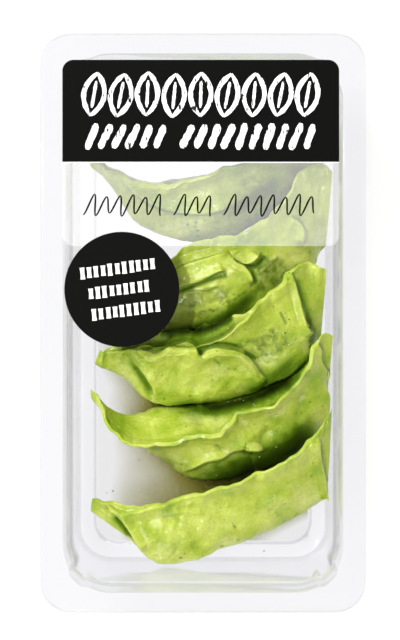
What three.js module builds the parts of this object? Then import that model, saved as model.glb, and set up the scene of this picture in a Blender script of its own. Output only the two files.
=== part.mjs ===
// A sealed chilled pack of six green vegetable gyoza: a clear thermoformed tray with its lid film,
// a printed label and a round sticker, and the dumplings leaning on each other in a row.
// Millimetres. The origin is the middle of the base on the surface the pack lies on, +X across the
// pack, +Y along it towards the printed end, +Z up to the lid.

import * as THREE from 'three';
import { mergeVertices } from 'three/addons/utils/BufferGeometryUtils.js';

// ---- driving dimensions -------------------------------------------------------------------------

const pack = { width: 117.4, length: 208.8, cornerRadius: 11 };
const opening = { width: 100.4, length: 194, cornerRadius: 17 };
const sheet = 0.6;
const flangeTop = 36;
const platformTop = 2.1;

// The flange's edge: how far it turns down, and the rounding of its shoulder and of the tray's mouth.
const flangeEdge = {
  drop: 1.6, shoulderDrop: 0.4, shoulderBack: 0.2, roundBack: 0.6, mouthRound: 0.3, neckOut: 1,
};

const film = { thickness: 0.15, setBack: 0.9 };
const label = { width: 99.6, length: 67, cornerRadius: 4, thickness: 0.12, top: 94.7, offsetX: -0.8 };
const sticker = { radius: 20.7, thickness: 0.12, x: -29.2, y: 12.1 };

// The tray's inner face from the middle of the floor to the flange: the height, how far it stands in
// from the opening at the two ends and at the two sides, and the radius of its corners.
const trayLevels = [
  { z: platformTop, ends: 12.6, sides: 9.2, radius: 8 },
  { z: platformTop - 0.3, ends: 12.0, sides: 8.6, radius: 8.5 },
  { z: sheet + 0.2, ends: 11.2, sides: 7.8, radius: 9 },
  { z: sheet, ends: 10.6, sides: 7.2, radius: 9.5 },
  { z: sheet, ends: 7.8, sides: 4.4, radius: 11 },
  { z: sheet + 0.7, ends: 6.6, sides: 3.0, radius: 12 },
  { z: sheet + 2.6, ends: 5.9, sides: 2.2, radius: 13 },
  { z: 26.6, ends: 2.4, sides: 1.1, radius: 15.5 },
  { z: 27.4, ends: 1.5, sides: 0.7, radius: 16 },
  { z: flangeTop - 1, ends: 0.5, sides: 0.3, radius: 16.8 },
  { z: flangeTop - 0.3, ends: 0.1, sides: 0.1, radius: opening.cornerRadius },
];

// How many of those levels make the floor, how many of them its platform, and the sheet's offsets.
const floorLevels = 5;
const platformLevels = 4;
const platformInset = 0.4 * sheet;
const wallDrop = 0.5 * sheet;

// Stacking lugs: a shallow outward swell in each corner below the flange.
const lug = { depth: 1.3, bottom: 20, runIn: 3, halfAngle: 0.3 };

// Dough, in millimetres or as shares of a section's height: the sheet, the pressed fin and the groove
// between its lips, the ears, the clearance to the tray, and how far two lips may part or step.
const dough = 1.1;
const finHeight = 4.5;
const grooveDepth = 1;
const earDepth = 3.2;
const earRounding = 0.06;
const lipShare = 0.3;
const lipBead = 0.3;
const mostLowered = 0.4;
const mostApart = 0.3;
const deepestGroove = 0.55;
const finShare = 0.25;
const gapeEnds = 0.7;
const clearance = 0.35;
const settle = 1.2;

// Every dumpling is laid by hand, so each has its own few values. ears are its two tips. Between
// them five sections run along the body, each from a point on the pressed seam down to a point on
// the keel. front and back say how far the filling swells the two sheets at those sections, gape how
// far the two lips of the seam stand apart, and lower how far the front lip ends below the back one.
const dumplings = [
  {
    name: 'gyoza_1',
    ears: [[-42.4, -66.5, 17], [47.2, -32, 28]],
    seam: [[-31, -69, 22], [-19.5, -68.5, 25], [4.5, -62, 27], [28.5, -49.5, 28.5], [43, -39, 29]],
    keel: [[-28, -79, 11], [-17, -87.5, 4], [7, -81.5, 3], [31, -73.5, 3], [45, -64.5, 6]],
    front: [3, 8.5, 8, 5.5, 3],
    back: [2, 6, 7.5, 7.5, 4],
    gape: [2.6, 1.2, 0.6, 0.2, 0.5],
    lower: [1.5, 0.6, 0.3, 0, 0],
  },
  {
    name: 'gyoza_2',
    ears: [[-42.6, -25, 27], [44.6, -4.4, 29]],
    seam: [[-36.5, -34, 26], [-23, -45.5, 26], [2.6, -40, 30], [28, -28, 31], [40, -14, 31]],
    keel: [[-33, -36, 14], [-21.5, -42.5, 4], [-1, -47.5, 3], [27.5, -41.5, 3], [44, -31, 6]],
    front: [1, 5, 13, 11, 4],
    back: [3, 9.5, 14, 10, 3],
    gape: [1.5, 0.4, 0.2, 0.4, 0.6],
    lower: [1, 0, 0, 0, 0],
  },
  {
    name: 'gyoza_3',
    ears: [[-41, -14.5, 21], [45.5, 19, 28]],
    seam: [[-33.5, -8, 25], [-19.5, -6.6, 29], [0.7, -7, 30], [21.5, 9, 31], [34.4, 20, 31]],
    keel: [[-31, -19, 12], [-19.5, -27, 4], [0.9, -24.5, 3], [25.2, -15, 3], [42.5, -2.5, 6]],
    front: [2.5, 7, 9.5, 10, 4],
    back: [2.5, 7, 9, 8.5, 4],
    gape: [1, 3, 3, 0.6, 0.4],
    lower: [2, 4, 3, 1, 0],
  },
  {
    name: 'gyoza_4',
    ears: [[-41.5, 9.8, 24], [46.8, 55.5, 28]],
    seam: [[-32.2, 13.5, 26], [-15.7, 16.2, 28], [4.4, 26.4, 30], [23.7, 39.5, 31], [35.4, 54.5, 31]],
    keel: [[-30.5, 8, 12], [-18.5, 6, 4], [2.8, 12.5, 3], [25.2, 21.5, 3], [43.5, 32, 6]],
    front: [2.5, 9, 12.5, 10, 4],
    back: [3, 13, 13.5, 10, 4],
    gape: [1, 1.5, 2, 1, 0.5],
    lower: [1, 2, 2.5, 1, 0],
  },
  {
    name: 'gyoza_5',
    ears: [[-42, 64, 26], [45, 84, 29]],
    seam: [[-37.8, 56.5, 25], [-23, 50.3, 26], [0.7, 54, 30], [26.2, 63.3, 31], [39, 77, 31]],
    keel: [[-34.5, 54, 13], [-22.5, 42.5, 4], [-1.8, 40.5, 3], [26.7, 50, 3], [43.5, 62.5, 6]],
    front: [1.5, 6.5, 12.5, 9.5, 4],
    back: [3, 9, 12.5, 9, 3],
    gape: [1, 0.6, 0.4, 0.8, 0.5],
    lower: [0.5, 0.5, 0, 0, 0],
  },
  {
    name: 'gyoza_6',
    ears: [[-41.5, 81, 25], [41, 89, 28]],
    seam: [[-35.5, 79.5, 26], [-21, 77, 27], [0.7, 79, 29], [23.7, 84, 30], [36, 88.5, 30]],
    keel: [[-32.5, 74.5, 13], [-22, 71, 4], [-1, 71.5, 3], [23.5, 77, 3], [38, 81, 6]],
    front: [2, 7.5, 9.5, 8, 3.5],
    back: [2, 7, 9, 8, 3],
    gape: [1.5, 1, 0.5, 0.5, 1],
    lower: [1, 0.5, 0, 0, 0.5],
  },
];

// ---- finishes -----------------------------------------------------------------------------------

const clearPlastic = new THREE.MeshStandardMaterial({ color: 0xeef1f4, roughness: 0.08, metalness: 0 });
const clearFilm = new THREE.MeshStandardMaterial({ color: 0xf4f6f8, roughness: 0.05, metalness: 0 });
const blackPrint = new THREE.MeshStandardMaterial({ color: 0x1d1d1b, roughness: 0.45, metalness: 0 });
const greenDough = new THREE.MeshStandardMaterial({ color: 0xa9cc3c, roughness: 0.3, metalness: 0 });

// ---- helpers ------------------------------------------------------------------------------------

function solidMesh(name, geometry, material) {
  geometry.deleteAttribute('normal');
  geometry.deleteAttribute('uv');
  const merged = mergeVertices(geometry, 1e-4);
  merged.computeVertexNormals();
  const mesh = new THREE.Mesh(merged, material.clone());
  mesh.name = name;
  return mesh;
}

function smoothStep(from, to, value) {
  return THREE.MathUtils.smoothstep(value, from, to);
}

// A flat plate with rounded corners, lying on its z.
function roundedPlate(width, length, radius, thickness) {
  const outline = new THREE.Shape();
  const x = width / 2 - radius;
  const y = length / 2 - radius;
  outline.absarc(x, y, radius, 0, Math.PI / 2);
  outline.absarc(-x, y, radius, Math.PI / 2, Math.PI);
  outline.absarc(-x, -y, radius, Math.PI, 1.5 * Math.PI);
  outline.absarc(x, -y, radius, 1.5 * Math.PI, 2 * Math.PI);
  return new THREE.ExtrudeGeometry(outline, { depth: thickness, bevelEnabled: false, curveSegments: 8 });
}

// ---- tray ---------------------------------------------------------------------------------------

const cornerSteps = 8;

// How far a lug swells the wall outwards, at an angle from its corner's diagonal.
function lugSwell(angleFromDiagonal, z) {
  const across = 1 - smoothStep(0.5 * lug.halfAngle, lug.halfAngle, Math.abs(angleFromDiagonal));
  return lug.depth * across * smoothStep(lug.bottom, lug.bottom + lug.runIn, z);
}

// One rounded rectangle of the tray at a height, counter-clockwise from the +X side.
function trayRing({ halfX, halfY, radius, z, swell }) {
  const points = [];
  for (let corner = 0; corner < 4; corner += 1) {
    const signX = corner === 0 || corner === 3 ? 1 : -1;
    const signY = corner < 2 ? 1 : -1;
    for (let step = 0; step <= cornerSteps; step += 1) {
      const angle = (corner + step / cornerSteps) * (Math.PI / 2);
      const reach = radius + (swell ? lugSwell((step / cornerSteps - 0.5) * (Math.PI / 2), z) : 0);
      points.push(new THREE.Vector3(
        signX * (halfX - radius) + reach * Math.cos(angle),
        signY * (halfY - radius) + reach * Math.sin(angle),
        z,
      ));
    }
  }
  return points;
}

function openingRing(level, z, offset, swell) {
  return trayRing({
    halfX: opening.width / 2 - level.sides + offset,
    halfY: opening.length / 2 - level.ends + offset,
    radius: level.radius + offset,
    z,
    swell,
  });
}

function flangeRing(setBack, z) {
  return trayRing({
    halfX: pack.width / 2 - setBack,
    halfY: pack.length / 2 - setBack,
    radius: pack.cornerRadius - setBack,
    z,
    swell: false,
  });
}

// Skins a stack of equal rings, and closes the first and the last with a fan.
function loft(rings) {
  const around = rings[0].length;
  const positions = [];
  const index = [];
  rings.forEach((ring) => ring.forEach((point) => positions.push(point.x, point.y, point.z)));
  for (let r = 0; r + 1 < rings.length; r += 1) {
    for (let k = 0; k < around; k += 1) {
      const next = (k + 1) % around;
      const a = r * around + k;
      const b = r * around + next;
      index.push(a, b, b + around, a, b + around, a + around);
    }
  }
  const first = positions.length / 3;
  positions.push(0, 0, rings[0][0].z);
  const last = first + 1;
  positions.push(0, 0, rings[rings.length - 1][0].z);
  const lastRing = (rings.length - 1) * around;
  for (let k = 0; k < around; k += 1) {
    const next = (k + 1) % around;
    index.push(first, next, k);
    index.push(last, lastRing + k, lastRing + next);
  }
  const geometry = new THREE.BufferGeometry();
  geometry.setAttribute('position', new THREE.Float32BufferAttribute(positions, 3));
  geometry.setIndex(index);
  return geometry;
}

// The formed sheet as one skin: up the outside from under the platform, round the flange's
// turned-down edge, and back down the inside to the middle of the floor.
function trayGeometry() {
  const outside = trayLevels.slice(0, -1).map((level, i) => {
    const z = level.z - (i < floorLevels ? sheet : wallDrop);
    return openingRing(level, z, i < platformLevels ? -platformInset : sheet, true);
  });
  const underFlange = flangeTop - sheet;
  const { drop, shoulderDrop, shoulderBack, roundBack, mouthRound, neckOut } = flangeEdge;
  const neck = { ends: -neckOut, sides: -neckOut, radius: opening.cornerRadius + neckOut };
  const mouth = { ends: -mouthRound, sides: -mouthRound, radius: opening.cornerRadius + mouthRound };
  const flange = [
    openingRing(neck, underFlange, neckOut, true),
    flangeRing(2 * sheet, underFlange),
    flangeRing(sheet, flangeTop - drop),
    flangeRing(0, flangeTop - drop),
    flangeRing(shoulderBack, flangeTop - shoulderDrop),
    flangeRing(roundBack, flangeTop),
    openingRing(mouth, flangeTop, 0, true),
  ];
  const inside = [...trayLevels].reverse().map((level) => openingRing(level, level.z, 0, true));
  return loft([...outside, ...flange, ...inside]);
}

// ---- dumplings ----------------------------------------------------------------------------------

const ringSteps = 18;
const stations = 26;
const lipTurn = 2 / ringSteps;

// How far the tray's inner face stands in from the opening at a height, at its ends or sides.
function wallInset(where, z) {
  const lowest = floorLevels + 1;
  const upper = Math.max(trayLevels.findIndex((level, i) => i > 0 && level.z > z), lowest);
  const top = trayLevels[upper];
  const under = trayLevels[upper - 1];
  return THREE.MathUtils.mapLinear(Math.max(z, under.z), under.z, top.z, under[where], top[where]);
}

// Eases a distance from the middle back inside its room, so that it nears the room's end but never
// passes it.
function easedWithin(distance, room) {
  const spare = room - Math.abs(distance);
  if (spare > settle) return distance;
  return Math.sign(distance) * (room - settle * Math.exp(spare / settle - 1));
}

// Soft dough lies flat on the floor and against the walls: near them a point is eased back.
function rested(point) {
  const floor = platformTop + clearance;
  const above = point.z - floor;
  const z = above > settle ? point.z : floor + settle * Math.exp(above / settle - 1);
  const roomX = opening.width / 2 - wallInset('sides', z) - clearance;
  const roomY = opening.length / 2 - wallInset('ends', z) - clearance;
  return new THREE.Vector3(easedWithin(point.x, roomX), easedWithin(point.y, roomY), z);
}

function valueCurve(values) {
  const curve = new THREE.CatmullRomCurve3([0, ...values, 0].map((value) => new THREE.Vector3(value, 0, 0)));
  curve.curveType = 'catmullrom';
  return (u) => Math.max(0, curve.getPoint(u).x);
}

function spaceCurve(points) {
  return new THREE.CatmullRomCurve3(points.map((point) => new THREE.Vector3(...point)));
}

// How much of its swell a sheet has, from the seam (0) to the keel (1): none in the pressed fin,
// most below the middle, and rounding in to the keel.
function swellShape(down) {
  return 2 * down ** 1.3 * Math.sqrt(Math.max(0, 1 - down ** 3));
}

// The surface of one dumpling: u runs from ear to ear, v once round a section, starting in the
// groove between the two lips, over the front lip, down to the keel and up the back.
function dumplingSurface(spec) {
  const [left, right] = spec.ears;
  const seamCurve = spaceCurve([left, ...spec.seam, right]);
  const keelCurve = spaceCurve([left, ...spec.keel, right]);
  const swells = { front: valueCurve(spec.front), back: valueCurve(spec.back) };
  const gape = valueCurve(spec.gape);
  const lower = valueCurve(spec.lower);
  return (u, v) => {
    const edge = Math.min(u, 1 - u);
    if (edge <= 0) return rested(seamCurve.getPoint(u));
    const seam = seamCurve.getPoint(u);
    const keel = keelCurve.getPoint(u);
    const drop = keel.clone().sub(seam);
    const nearEar = Math.sqrt(Math.min(1, edge / earRounding));
    const height = Math.hypot(drop.length(), earDepth * nearEar);
    const middle = seam.clone().add(keel).multiplyScalar(0.5);
    drop.normalize();
    const along = seamCurve.getTangent(u).add(keelCurve.getTangent(u));
    const forward = new THREE.Vector3().crossVectors(drop, along).normalize();
    const isFront = v <= 0.5;
    const turn = isFront ? 2 * v : 2 - 2 * v;
    const half = dough * nearEar;
    const lip = isFront ? Math.min(lower(u), mostLowered * height) : 0;
    const apart = Math.min(gape(u), mostApart * height) * nearEar;
    const groove = Math.min(deepestGroove * height, lip + grooveDepth * nearEar + apart);
    let down = 0;
    let out = 0;
    if (turn <= lipTurn) {
      const rise = turn / lipTurn;
      down = THREE.MathUtils.lerp(groove, lip, rise);
      out = (lipShare * half + apart) * rise;
    } else if (turn <= 2 * lipTurn) {
      const over = turn / lipTurn - 1;
      out = apart + half * THREE.MathUtils.lerp(lipShare, 1, over);
      down = lip + lipBead * over;
    } else {
      const side = (turn - 2 * lipTurn) / (1 - 2 * lipTurn);
      const eased = 0.5 * side + 0.25 * (1 - Math.cos(Math.PI * side));
      down = THREE.MathUtils.lerp(lip + lipBead, height, eased);
      const fin = Math.min(finHeight, finShare * height);
      const belly = Math.max(0, (down - fin) / (height - fin));
      const swell = (isFront ? swells.front : swells.back)(u);
      out = half * Math.sqrt(1 - eased ** 6) + apart * (1 - smoothStep(0, gapeEnds, eased));
      out += swell * swellShape(belly);
    }
    const point = middle.addScaledVector(drop, down - height / 2);
    point.addScaledVector(forward, isFront ? out : -out);
    return rested(point);
  };
}

// Wraps a sphere's grid onto a dumpling, with the two poles at its ears.
function dumplingGeometry(spec) {
  const surface = dumplingSurface(spec);
  const geometry = new THREE.SphereGeometry(1, ringSteps, stations);
  const position = geometry.attributes.position;
  const row = ringSteps + 1;
  for (let i = 0; i < position.count; i += 1) {
    const step = i % row;
    const u = Math.floor(i / row) / stations;
    const v = ((ringSteps - step) % ringSteps) / ringSteps;
    const point = surface(u, v);
    position.setXYZ(i, point.x, point.y, point.z);
  }
  return geometry;
}

// ---- the object ---------------------------------------------------------------------------------

const filmTop = flangeTop + film.thickness;
const group = new THREE.Group();

group.add(solidMesh('tray', trayGeometry(), clearPlastic));

const lidFilm = solidMesh('lid_film', roundedPlate(
  pack.width - 2 * film.setBack,
  pack.length - 2 * film.setBack,
  pack.cornerRadius - film.setBack,
  film.thickness,
), clearFilm);
lidFilm.position.z = flangeTop;
group.add(lidFilm);

const labelMesh = solidMesh(
  'label',
  roundedPlate(label.width, label.length, label.cornerRadius, label.thickness),
  blackPrint,
);
labelMesh.position.set(label.offsetX, label.top - label.length / 2, filmTop);
group.add(labelMesh);

const stickerMesh = solidMesh(
  'round_sticker',
  new THREE.CylinderGeometry(sticker.radius, sticker.radius, sticker.thickness, 48),
  blackPrint,
);
stickerMesh.rotation.x = Math.PI / 2;
stickerMesh.position.set(sticker.x, sticker.y, filmTop + label.thickness + sticker.thickness / 2);
group.add(stickerMesh);

dumplings.forEach((spec) => group.add(solidMesh(spec.name, dumplingGeometry(spec), greenDough)));

export default group;
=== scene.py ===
"""A sealed chilled pack of green vegetable gyoza: clear formed tray, lid film, label, sticker and dough."""

import itertools
import logging
import math
from collections.abc import Sequence
from dataclasses import dataclass
from enum import Enum

import bmesh
import bpy
import numpy as np
from bmesh.types import BMEdge, BMesh, BMFace, BMVert
from bpy.types import Material, Mesh, Node, NodeSocket, NodeTree, Object
from mathutils import Matrix, Vector
from mathutils.bvhtree import BVHTree
from mathutils.kdtree import KDTree


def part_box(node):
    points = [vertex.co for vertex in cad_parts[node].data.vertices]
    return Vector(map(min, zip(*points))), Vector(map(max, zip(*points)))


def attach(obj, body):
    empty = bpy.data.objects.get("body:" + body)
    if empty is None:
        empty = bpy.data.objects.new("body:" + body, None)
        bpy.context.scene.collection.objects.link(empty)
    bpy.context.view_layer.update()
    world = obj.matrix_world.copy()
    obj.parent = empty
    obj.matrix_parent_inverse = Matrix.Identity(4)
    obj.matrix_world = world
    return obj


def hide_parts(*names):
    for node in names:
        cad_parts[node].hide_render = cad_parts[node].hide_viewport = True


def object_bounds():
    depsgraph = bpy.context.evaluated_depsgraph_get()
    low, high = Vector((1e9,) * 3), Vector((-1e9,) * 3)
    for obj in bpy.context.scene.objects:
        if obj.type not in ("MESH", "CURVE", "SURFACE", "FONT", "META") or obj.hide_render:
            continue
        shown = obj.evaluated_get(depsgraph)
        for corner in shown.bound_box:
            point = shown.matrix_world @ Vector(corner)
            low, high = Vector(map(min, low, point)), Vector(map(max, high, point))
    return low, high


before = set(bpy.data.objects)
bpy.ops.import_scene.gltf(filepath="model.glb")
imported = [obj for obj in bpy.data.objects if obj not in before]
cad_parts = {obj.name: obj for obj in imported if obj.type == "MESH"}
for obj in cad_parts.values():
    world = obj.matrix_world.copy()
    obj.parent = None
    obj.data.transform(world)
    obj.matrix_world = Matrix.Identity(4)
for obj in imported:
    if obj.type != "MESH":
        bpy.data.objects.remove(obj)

CAD_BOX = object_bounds()
MM = 0.001
BODY = "root"
# In millimetres: the eye, the lid's height, the thickness of ink and the gap under printed pieces.
EYE = (-1.08, 1.08, 509.0)
LID = 36.0
INK = 0.02
LIFT = 0.01
# Large numbers that scramble a lattice place and a seed into one number.
LATTICE_PRIMES = (374761393, 668265263, 974634777)
SEED_FACTOR = 144665
LOG = logging.getLogger("gyoza_pack")

Point = tuple[float, float, float]
Mark = tuple[float, float]
Stops = tuple[tuple[float, tuple[float, ...]], ...]


# ---- shared helpers ----


def linear(hex_colour: str) -> tuple[float, float, float, float]:
    """Turn an sRGB hex colour into linear light.

    Args:
        hex_colour: Six hex digits, without a hash.

    Returns:
        Red, green, blue and an alpha of 1.
    """
    values = [int(hex_colour[i : i + 2], 16) / 255 for i in (0, 2, 4)]
    parts = [v / 12.92 if v <= 0.04045 else ((v + 0.055) / 1.055) ** 2.4 for v in values]
    return (parts[0], parts[1], parts[2], 1.0)


def per_mm(size_mm: float) -> float:
    """Return the texture scale at which a pattern repeats about every size_mm on Object coordinates."""
    return 1.0 / (size_mm * MM)


def add_node(
    tree: NodeTree, kind: str, inputs: dict[str | int, object] | None = None, stops: Stops = (),
    **settings: object,
) -> Node:
    """Add a shader node with its settings, socket values and links.

    Args:
        tree: The node tree that gets the node.
        kind: The node's type name, after its common start.
        inputs: Socket name or number to a value, an output socket, or a node whose first output is meant.
        stops: A colour ramp's places from 0 to 1, each with its linear colour.
        **settings: Attributes of the node.

    Returns:
        The new node.
    """
    node = tree.nodes.new("ShaderNode" + kind)
    for name, value in settings.items():
        setattr(node, name, value)
    for name, value in (inputs or {}).items():
        source = value.outputs[0] if isinstance(value, Node) else value
        if isinstance(source, NodeSocket):
            tree.links.new(source, node.inputs[name])
        else:
            node.inputs[name].default_value = source
    if stops:
        elements = node.color_ramp.elements
        while len(elements) < len(stops):
            elements.new(0.5)
        for element, (position, colour) in zip(elements, stops):
            element.position = position
            element.color = colour
    return node


def grey(value: float) -> tuple[float, float, float, float]:
    """Return an opaque grey of that linear value."""
    return (value, value, value, 1.0)


def blank_material(name: str) -> tuple[Material, NodeTree]:
    """Start a material.

    Args:
        name: The material's name.

    Returns:
        The material and its node tree.
    """
    material = bpy.data.materials.new(name)
    material.use_nodes = True
    tree = material.node_tree
    tree.nodes.clear()
    return material, tree


def show(material: Material, shader: Node) -> Material:
    """Give a material its surface.

    Args:
        material: The material.
        shader: The node whose first output is the surface.

    Returns:
        The material.
    """
    add_node(material.node_tree, "OutputMaterial", {"Surface": shader})
    return material


def finish_piece(
    mesh: Mesh, name: str, material: Material, stands_for: tuple[str, ...] = (),
    smooth: bool = True,
) -> Object:
    """Turn a mesh in metres into a piece that rides on the pack.

    Args:
        mesh: The finished mesh, in the row frame.
        name: The piece's name.
        material: Its finish.
        stands_for: CAD nodes that it replaces.
        smooth: Whether its faces are shaded smooth.

    Returns:
        The piece.
    """
    mesh.name = name
    mesh.materials.append(material)
    mesh.shade_smooth() if smooth else mesh.shade_flat()
    piece = bpy.data.objects.new(name, mesh)
    bpy.context.scene.collection.objects.link(piece)
    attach(piece, BODY)
    if stands_for:
        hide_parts(*stands_for)
    LOG.info("%s: %d faces", name, len(mesh.polygons))
    return piece


def closed_mesh(shape: BMesh, merge: float = 1e-7) -> Mesh:
    """Merge a bmesh's doubles, turn its faces outwards and free it into a mesh.

    Args:
        shape: The bmesh, in metres.
        merge: The distance under which two vertices are one.

    Returns:
        The mesh.
    """
    bmesh.ops.remove_doubles(shape, verts=shape.verts, dist=merge)
    bmesh.ops.recalc_face_normals(shape, faces=shape.faces)
    mesh = bpy.data.meshes.new("piece")
    shape.to_mesh(mesh)
    shape.free()
    return mesh


def thicken(shape: BMesh, faces: list[BMFace], thickness: float) -> None:
    """Raise flat faces into a plate.

    Args:
        shape: The bmesh, in metres.
        faces: The flat faces.
        thickness: How thick the plate is, in millimetres.
    """
    made = bmesh.ops.extrude_face_region(shape, geom=faces)["geom"]
    raised = [part for part in made if isinstance(part, BMVert)]
    bmesh.ops.translate(shape, verts=raised, vec=(0, 0, thickness * MM))


def paint_points(mesh: Mesh, name: str, values: np.ndarray) -> None:
    """Give a mesh's points a painted attribute."""
    mesh.attributes.new(name, "FLOAT", "POINT").data.foreach_set("value", values.astype(np.float32))


def rounded_outline(
    half: Mark, radii: tuple[float, ...], steps: int, swells: Sequence[float]
) -> list[Mark]:
    """Place a rounded rectangle about the origin, counter-clockwise.

    Args:
        half: Half its width and half its length.
        radii: Corner radii from the +X +Y corner, counter-clockwise.
        steps: Steps in each corner.
        swells: How far each point of a corner bulges out.

    Returns:
        Its points.
    """
    points = []
    for corner, radius in enumerate(radii):
        side_x = 1 if corner in (0, 3) else -1
        side_y = 1 if corner < 2 else -1
        for step in range(steps + 1):
            angle = (corner + step / steps) * math.pi / 2
            reach = radius + swells[step]
            x = side_x * (half[0] - radius) + reach * math.cos(angle)
            points.append((x, side_y * (half[1] - radius) + reach * math.sin(angle)))
    return points


def surfaces(pieces: list[Object]) -> BVHTree:
    """Collect pieces for ray casts.

    Args:
        pieces: Pieces with their place in their meshes.

    Returns:
        Their faces as one tree.
    """
    shape = bmesh.new()
    for piece in pieces:
        shape.from_mesh(piece.data)
    tree = BVHTree.FromBMesh(shape)
    shape.free()
    return tree


def smooth_step(low: float, high: float, value: np.ndarray) -> np.ndarray:
    """Ease from 0 at low to 1 at high."""
    t = np.clip((value - low) / (high - low), 0.0, 1.0)
    return t * t * (3.0 - 2.0 * t)


def soft_noise(points: np.ndarray, seed: int) -> np.ndarray:
    """Read a smooth gradient noise at many points.

    Args:
        points: Points, with one unit to a lattice cell.
        seed: Which noise.

    Returns:
        Values from about -1 to 1.
    """
    cell = np.floor(points).astype(np.int64)
    part = points - cell
    ease = part**3 * (part * (part * 6 - 15) + 10)
    total = np.zeros(points.shape[:-1])
    for corner in itertools.product((0, 1), repeat=3):
        place = cell + corner
        mixed = (place * LATTICE_PRIMES).sum(axis=-1) + seed * SEED_FACTOR
        mixed &= 0xFFFFFFFF
        mixed = ((mixed ^ (mixed >> 13)) * 1274126177) & 0xFFFFFFFF
        mixed ^= mixed >> 16
        slope = np.stack([(mixed >> shift & 1023) / 511.5 - 1 for shift in (0, 10, 20)], axis=-1)
        weight = np.prod(np.where(np.array(corner) == 1, ease, 1 - ease), axis=-1)
        total += weight * ((part - corner) * slope).sum(axis=-1)
    return 1.5 * total


def flat_noise(places: np.ndarray, size: float, seed: int) -> np.ndarray:
    """Read the noise at places on a plane, with cells of that size."""
    return soft_noise(np.concatenate([places / size, np.zeros_like(places[..., :1])], axis=-1), seed)


def on_lid(points: np.ndarray) -> np.ndarray:
    """Carry points along the line of sight onto the lid's plane.

    Args:
        points: Points in millimetres.

    Returns:
        Their x and y on the lid, as the eye sees them.
    """
    nearer = (EYE[2] - LID) / (EYE[2] - points[..., 2:3])
    middle = np.array(EYE[:2])
    return middle + (points[..., :2] - middle) * nearer


# ---- finishes ----


@dataclass(frozen=True)
class ThermoformedSheet:
    """Clear PET drawn into a mould: see-through face on, greyer and glossier where it is met on edge."""

    name: str
    face_tint: str = "fdfdfe"
    slope_tint: str = "fafafb"
    edge_tint: str = "e0e0dd"
    roughness: float = 0.09
    ior: float = 1.57
    least_gloss: float = 0.006
    most_gloss: float = 0.4
    draw_ripple_mm: float = 9.0
    ripple_height_mm: float = 0.05

    def make(self) -> Material:
        """Build the material.

        Returns:
            A mix of a tinted see-through shader and a gloss, with the slow ripples of drawn sheet.
        """
        material, tree = blank_material(self.name)
        spots = add_node(tree, "TexCoord").outputs["Object"]
        ripple = add_node(
            tree, "TexNoise", {"Vector": spots, "Scale": per_mm(self.draw_ripple_mm), "Detail": 1.5}
        )
        bump = add_node(
            tree, "Bump", {"Height": ripple, "Strength": 0.6, "Distance": self.ripple_height_mm * MM}
        )
        facing = add_node(tree, "LayerWeight", {"Blend": 0.35})
        tint = add_node(tree, "ValToRGB", {"Fac": facing.outputs["Facing"]}, (
            (0.0, linear(self.face_tint)), (0.6, linear(self.slope_tint)), (1.0, linear(self.edge_tint))
        ))
        fresnel = add_node(tree, "Fresnel", {"IOR": self.ior, "Normal": bump})
        share = add_node(tree, "MapRange", {
            "Value": fresnel, "From Min": 0.09, "From Max": 0.55, "To Min": self.least_gloss,
            "To Max": self.most_gloss,
        })
        gloss = add_node(
            tree, "BsdfAnisotropic", {"Color": grey(1.0), "Roughness": self.roughness, "Normal": bump}
        )
        clear = add_node(tree, "BsdfTransparent", {"Color": tint})
        mixed = add_node(tree, "MixShader", {0: share, 1: clear, 2: gloss})
        return show(material, mixed)


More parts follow.
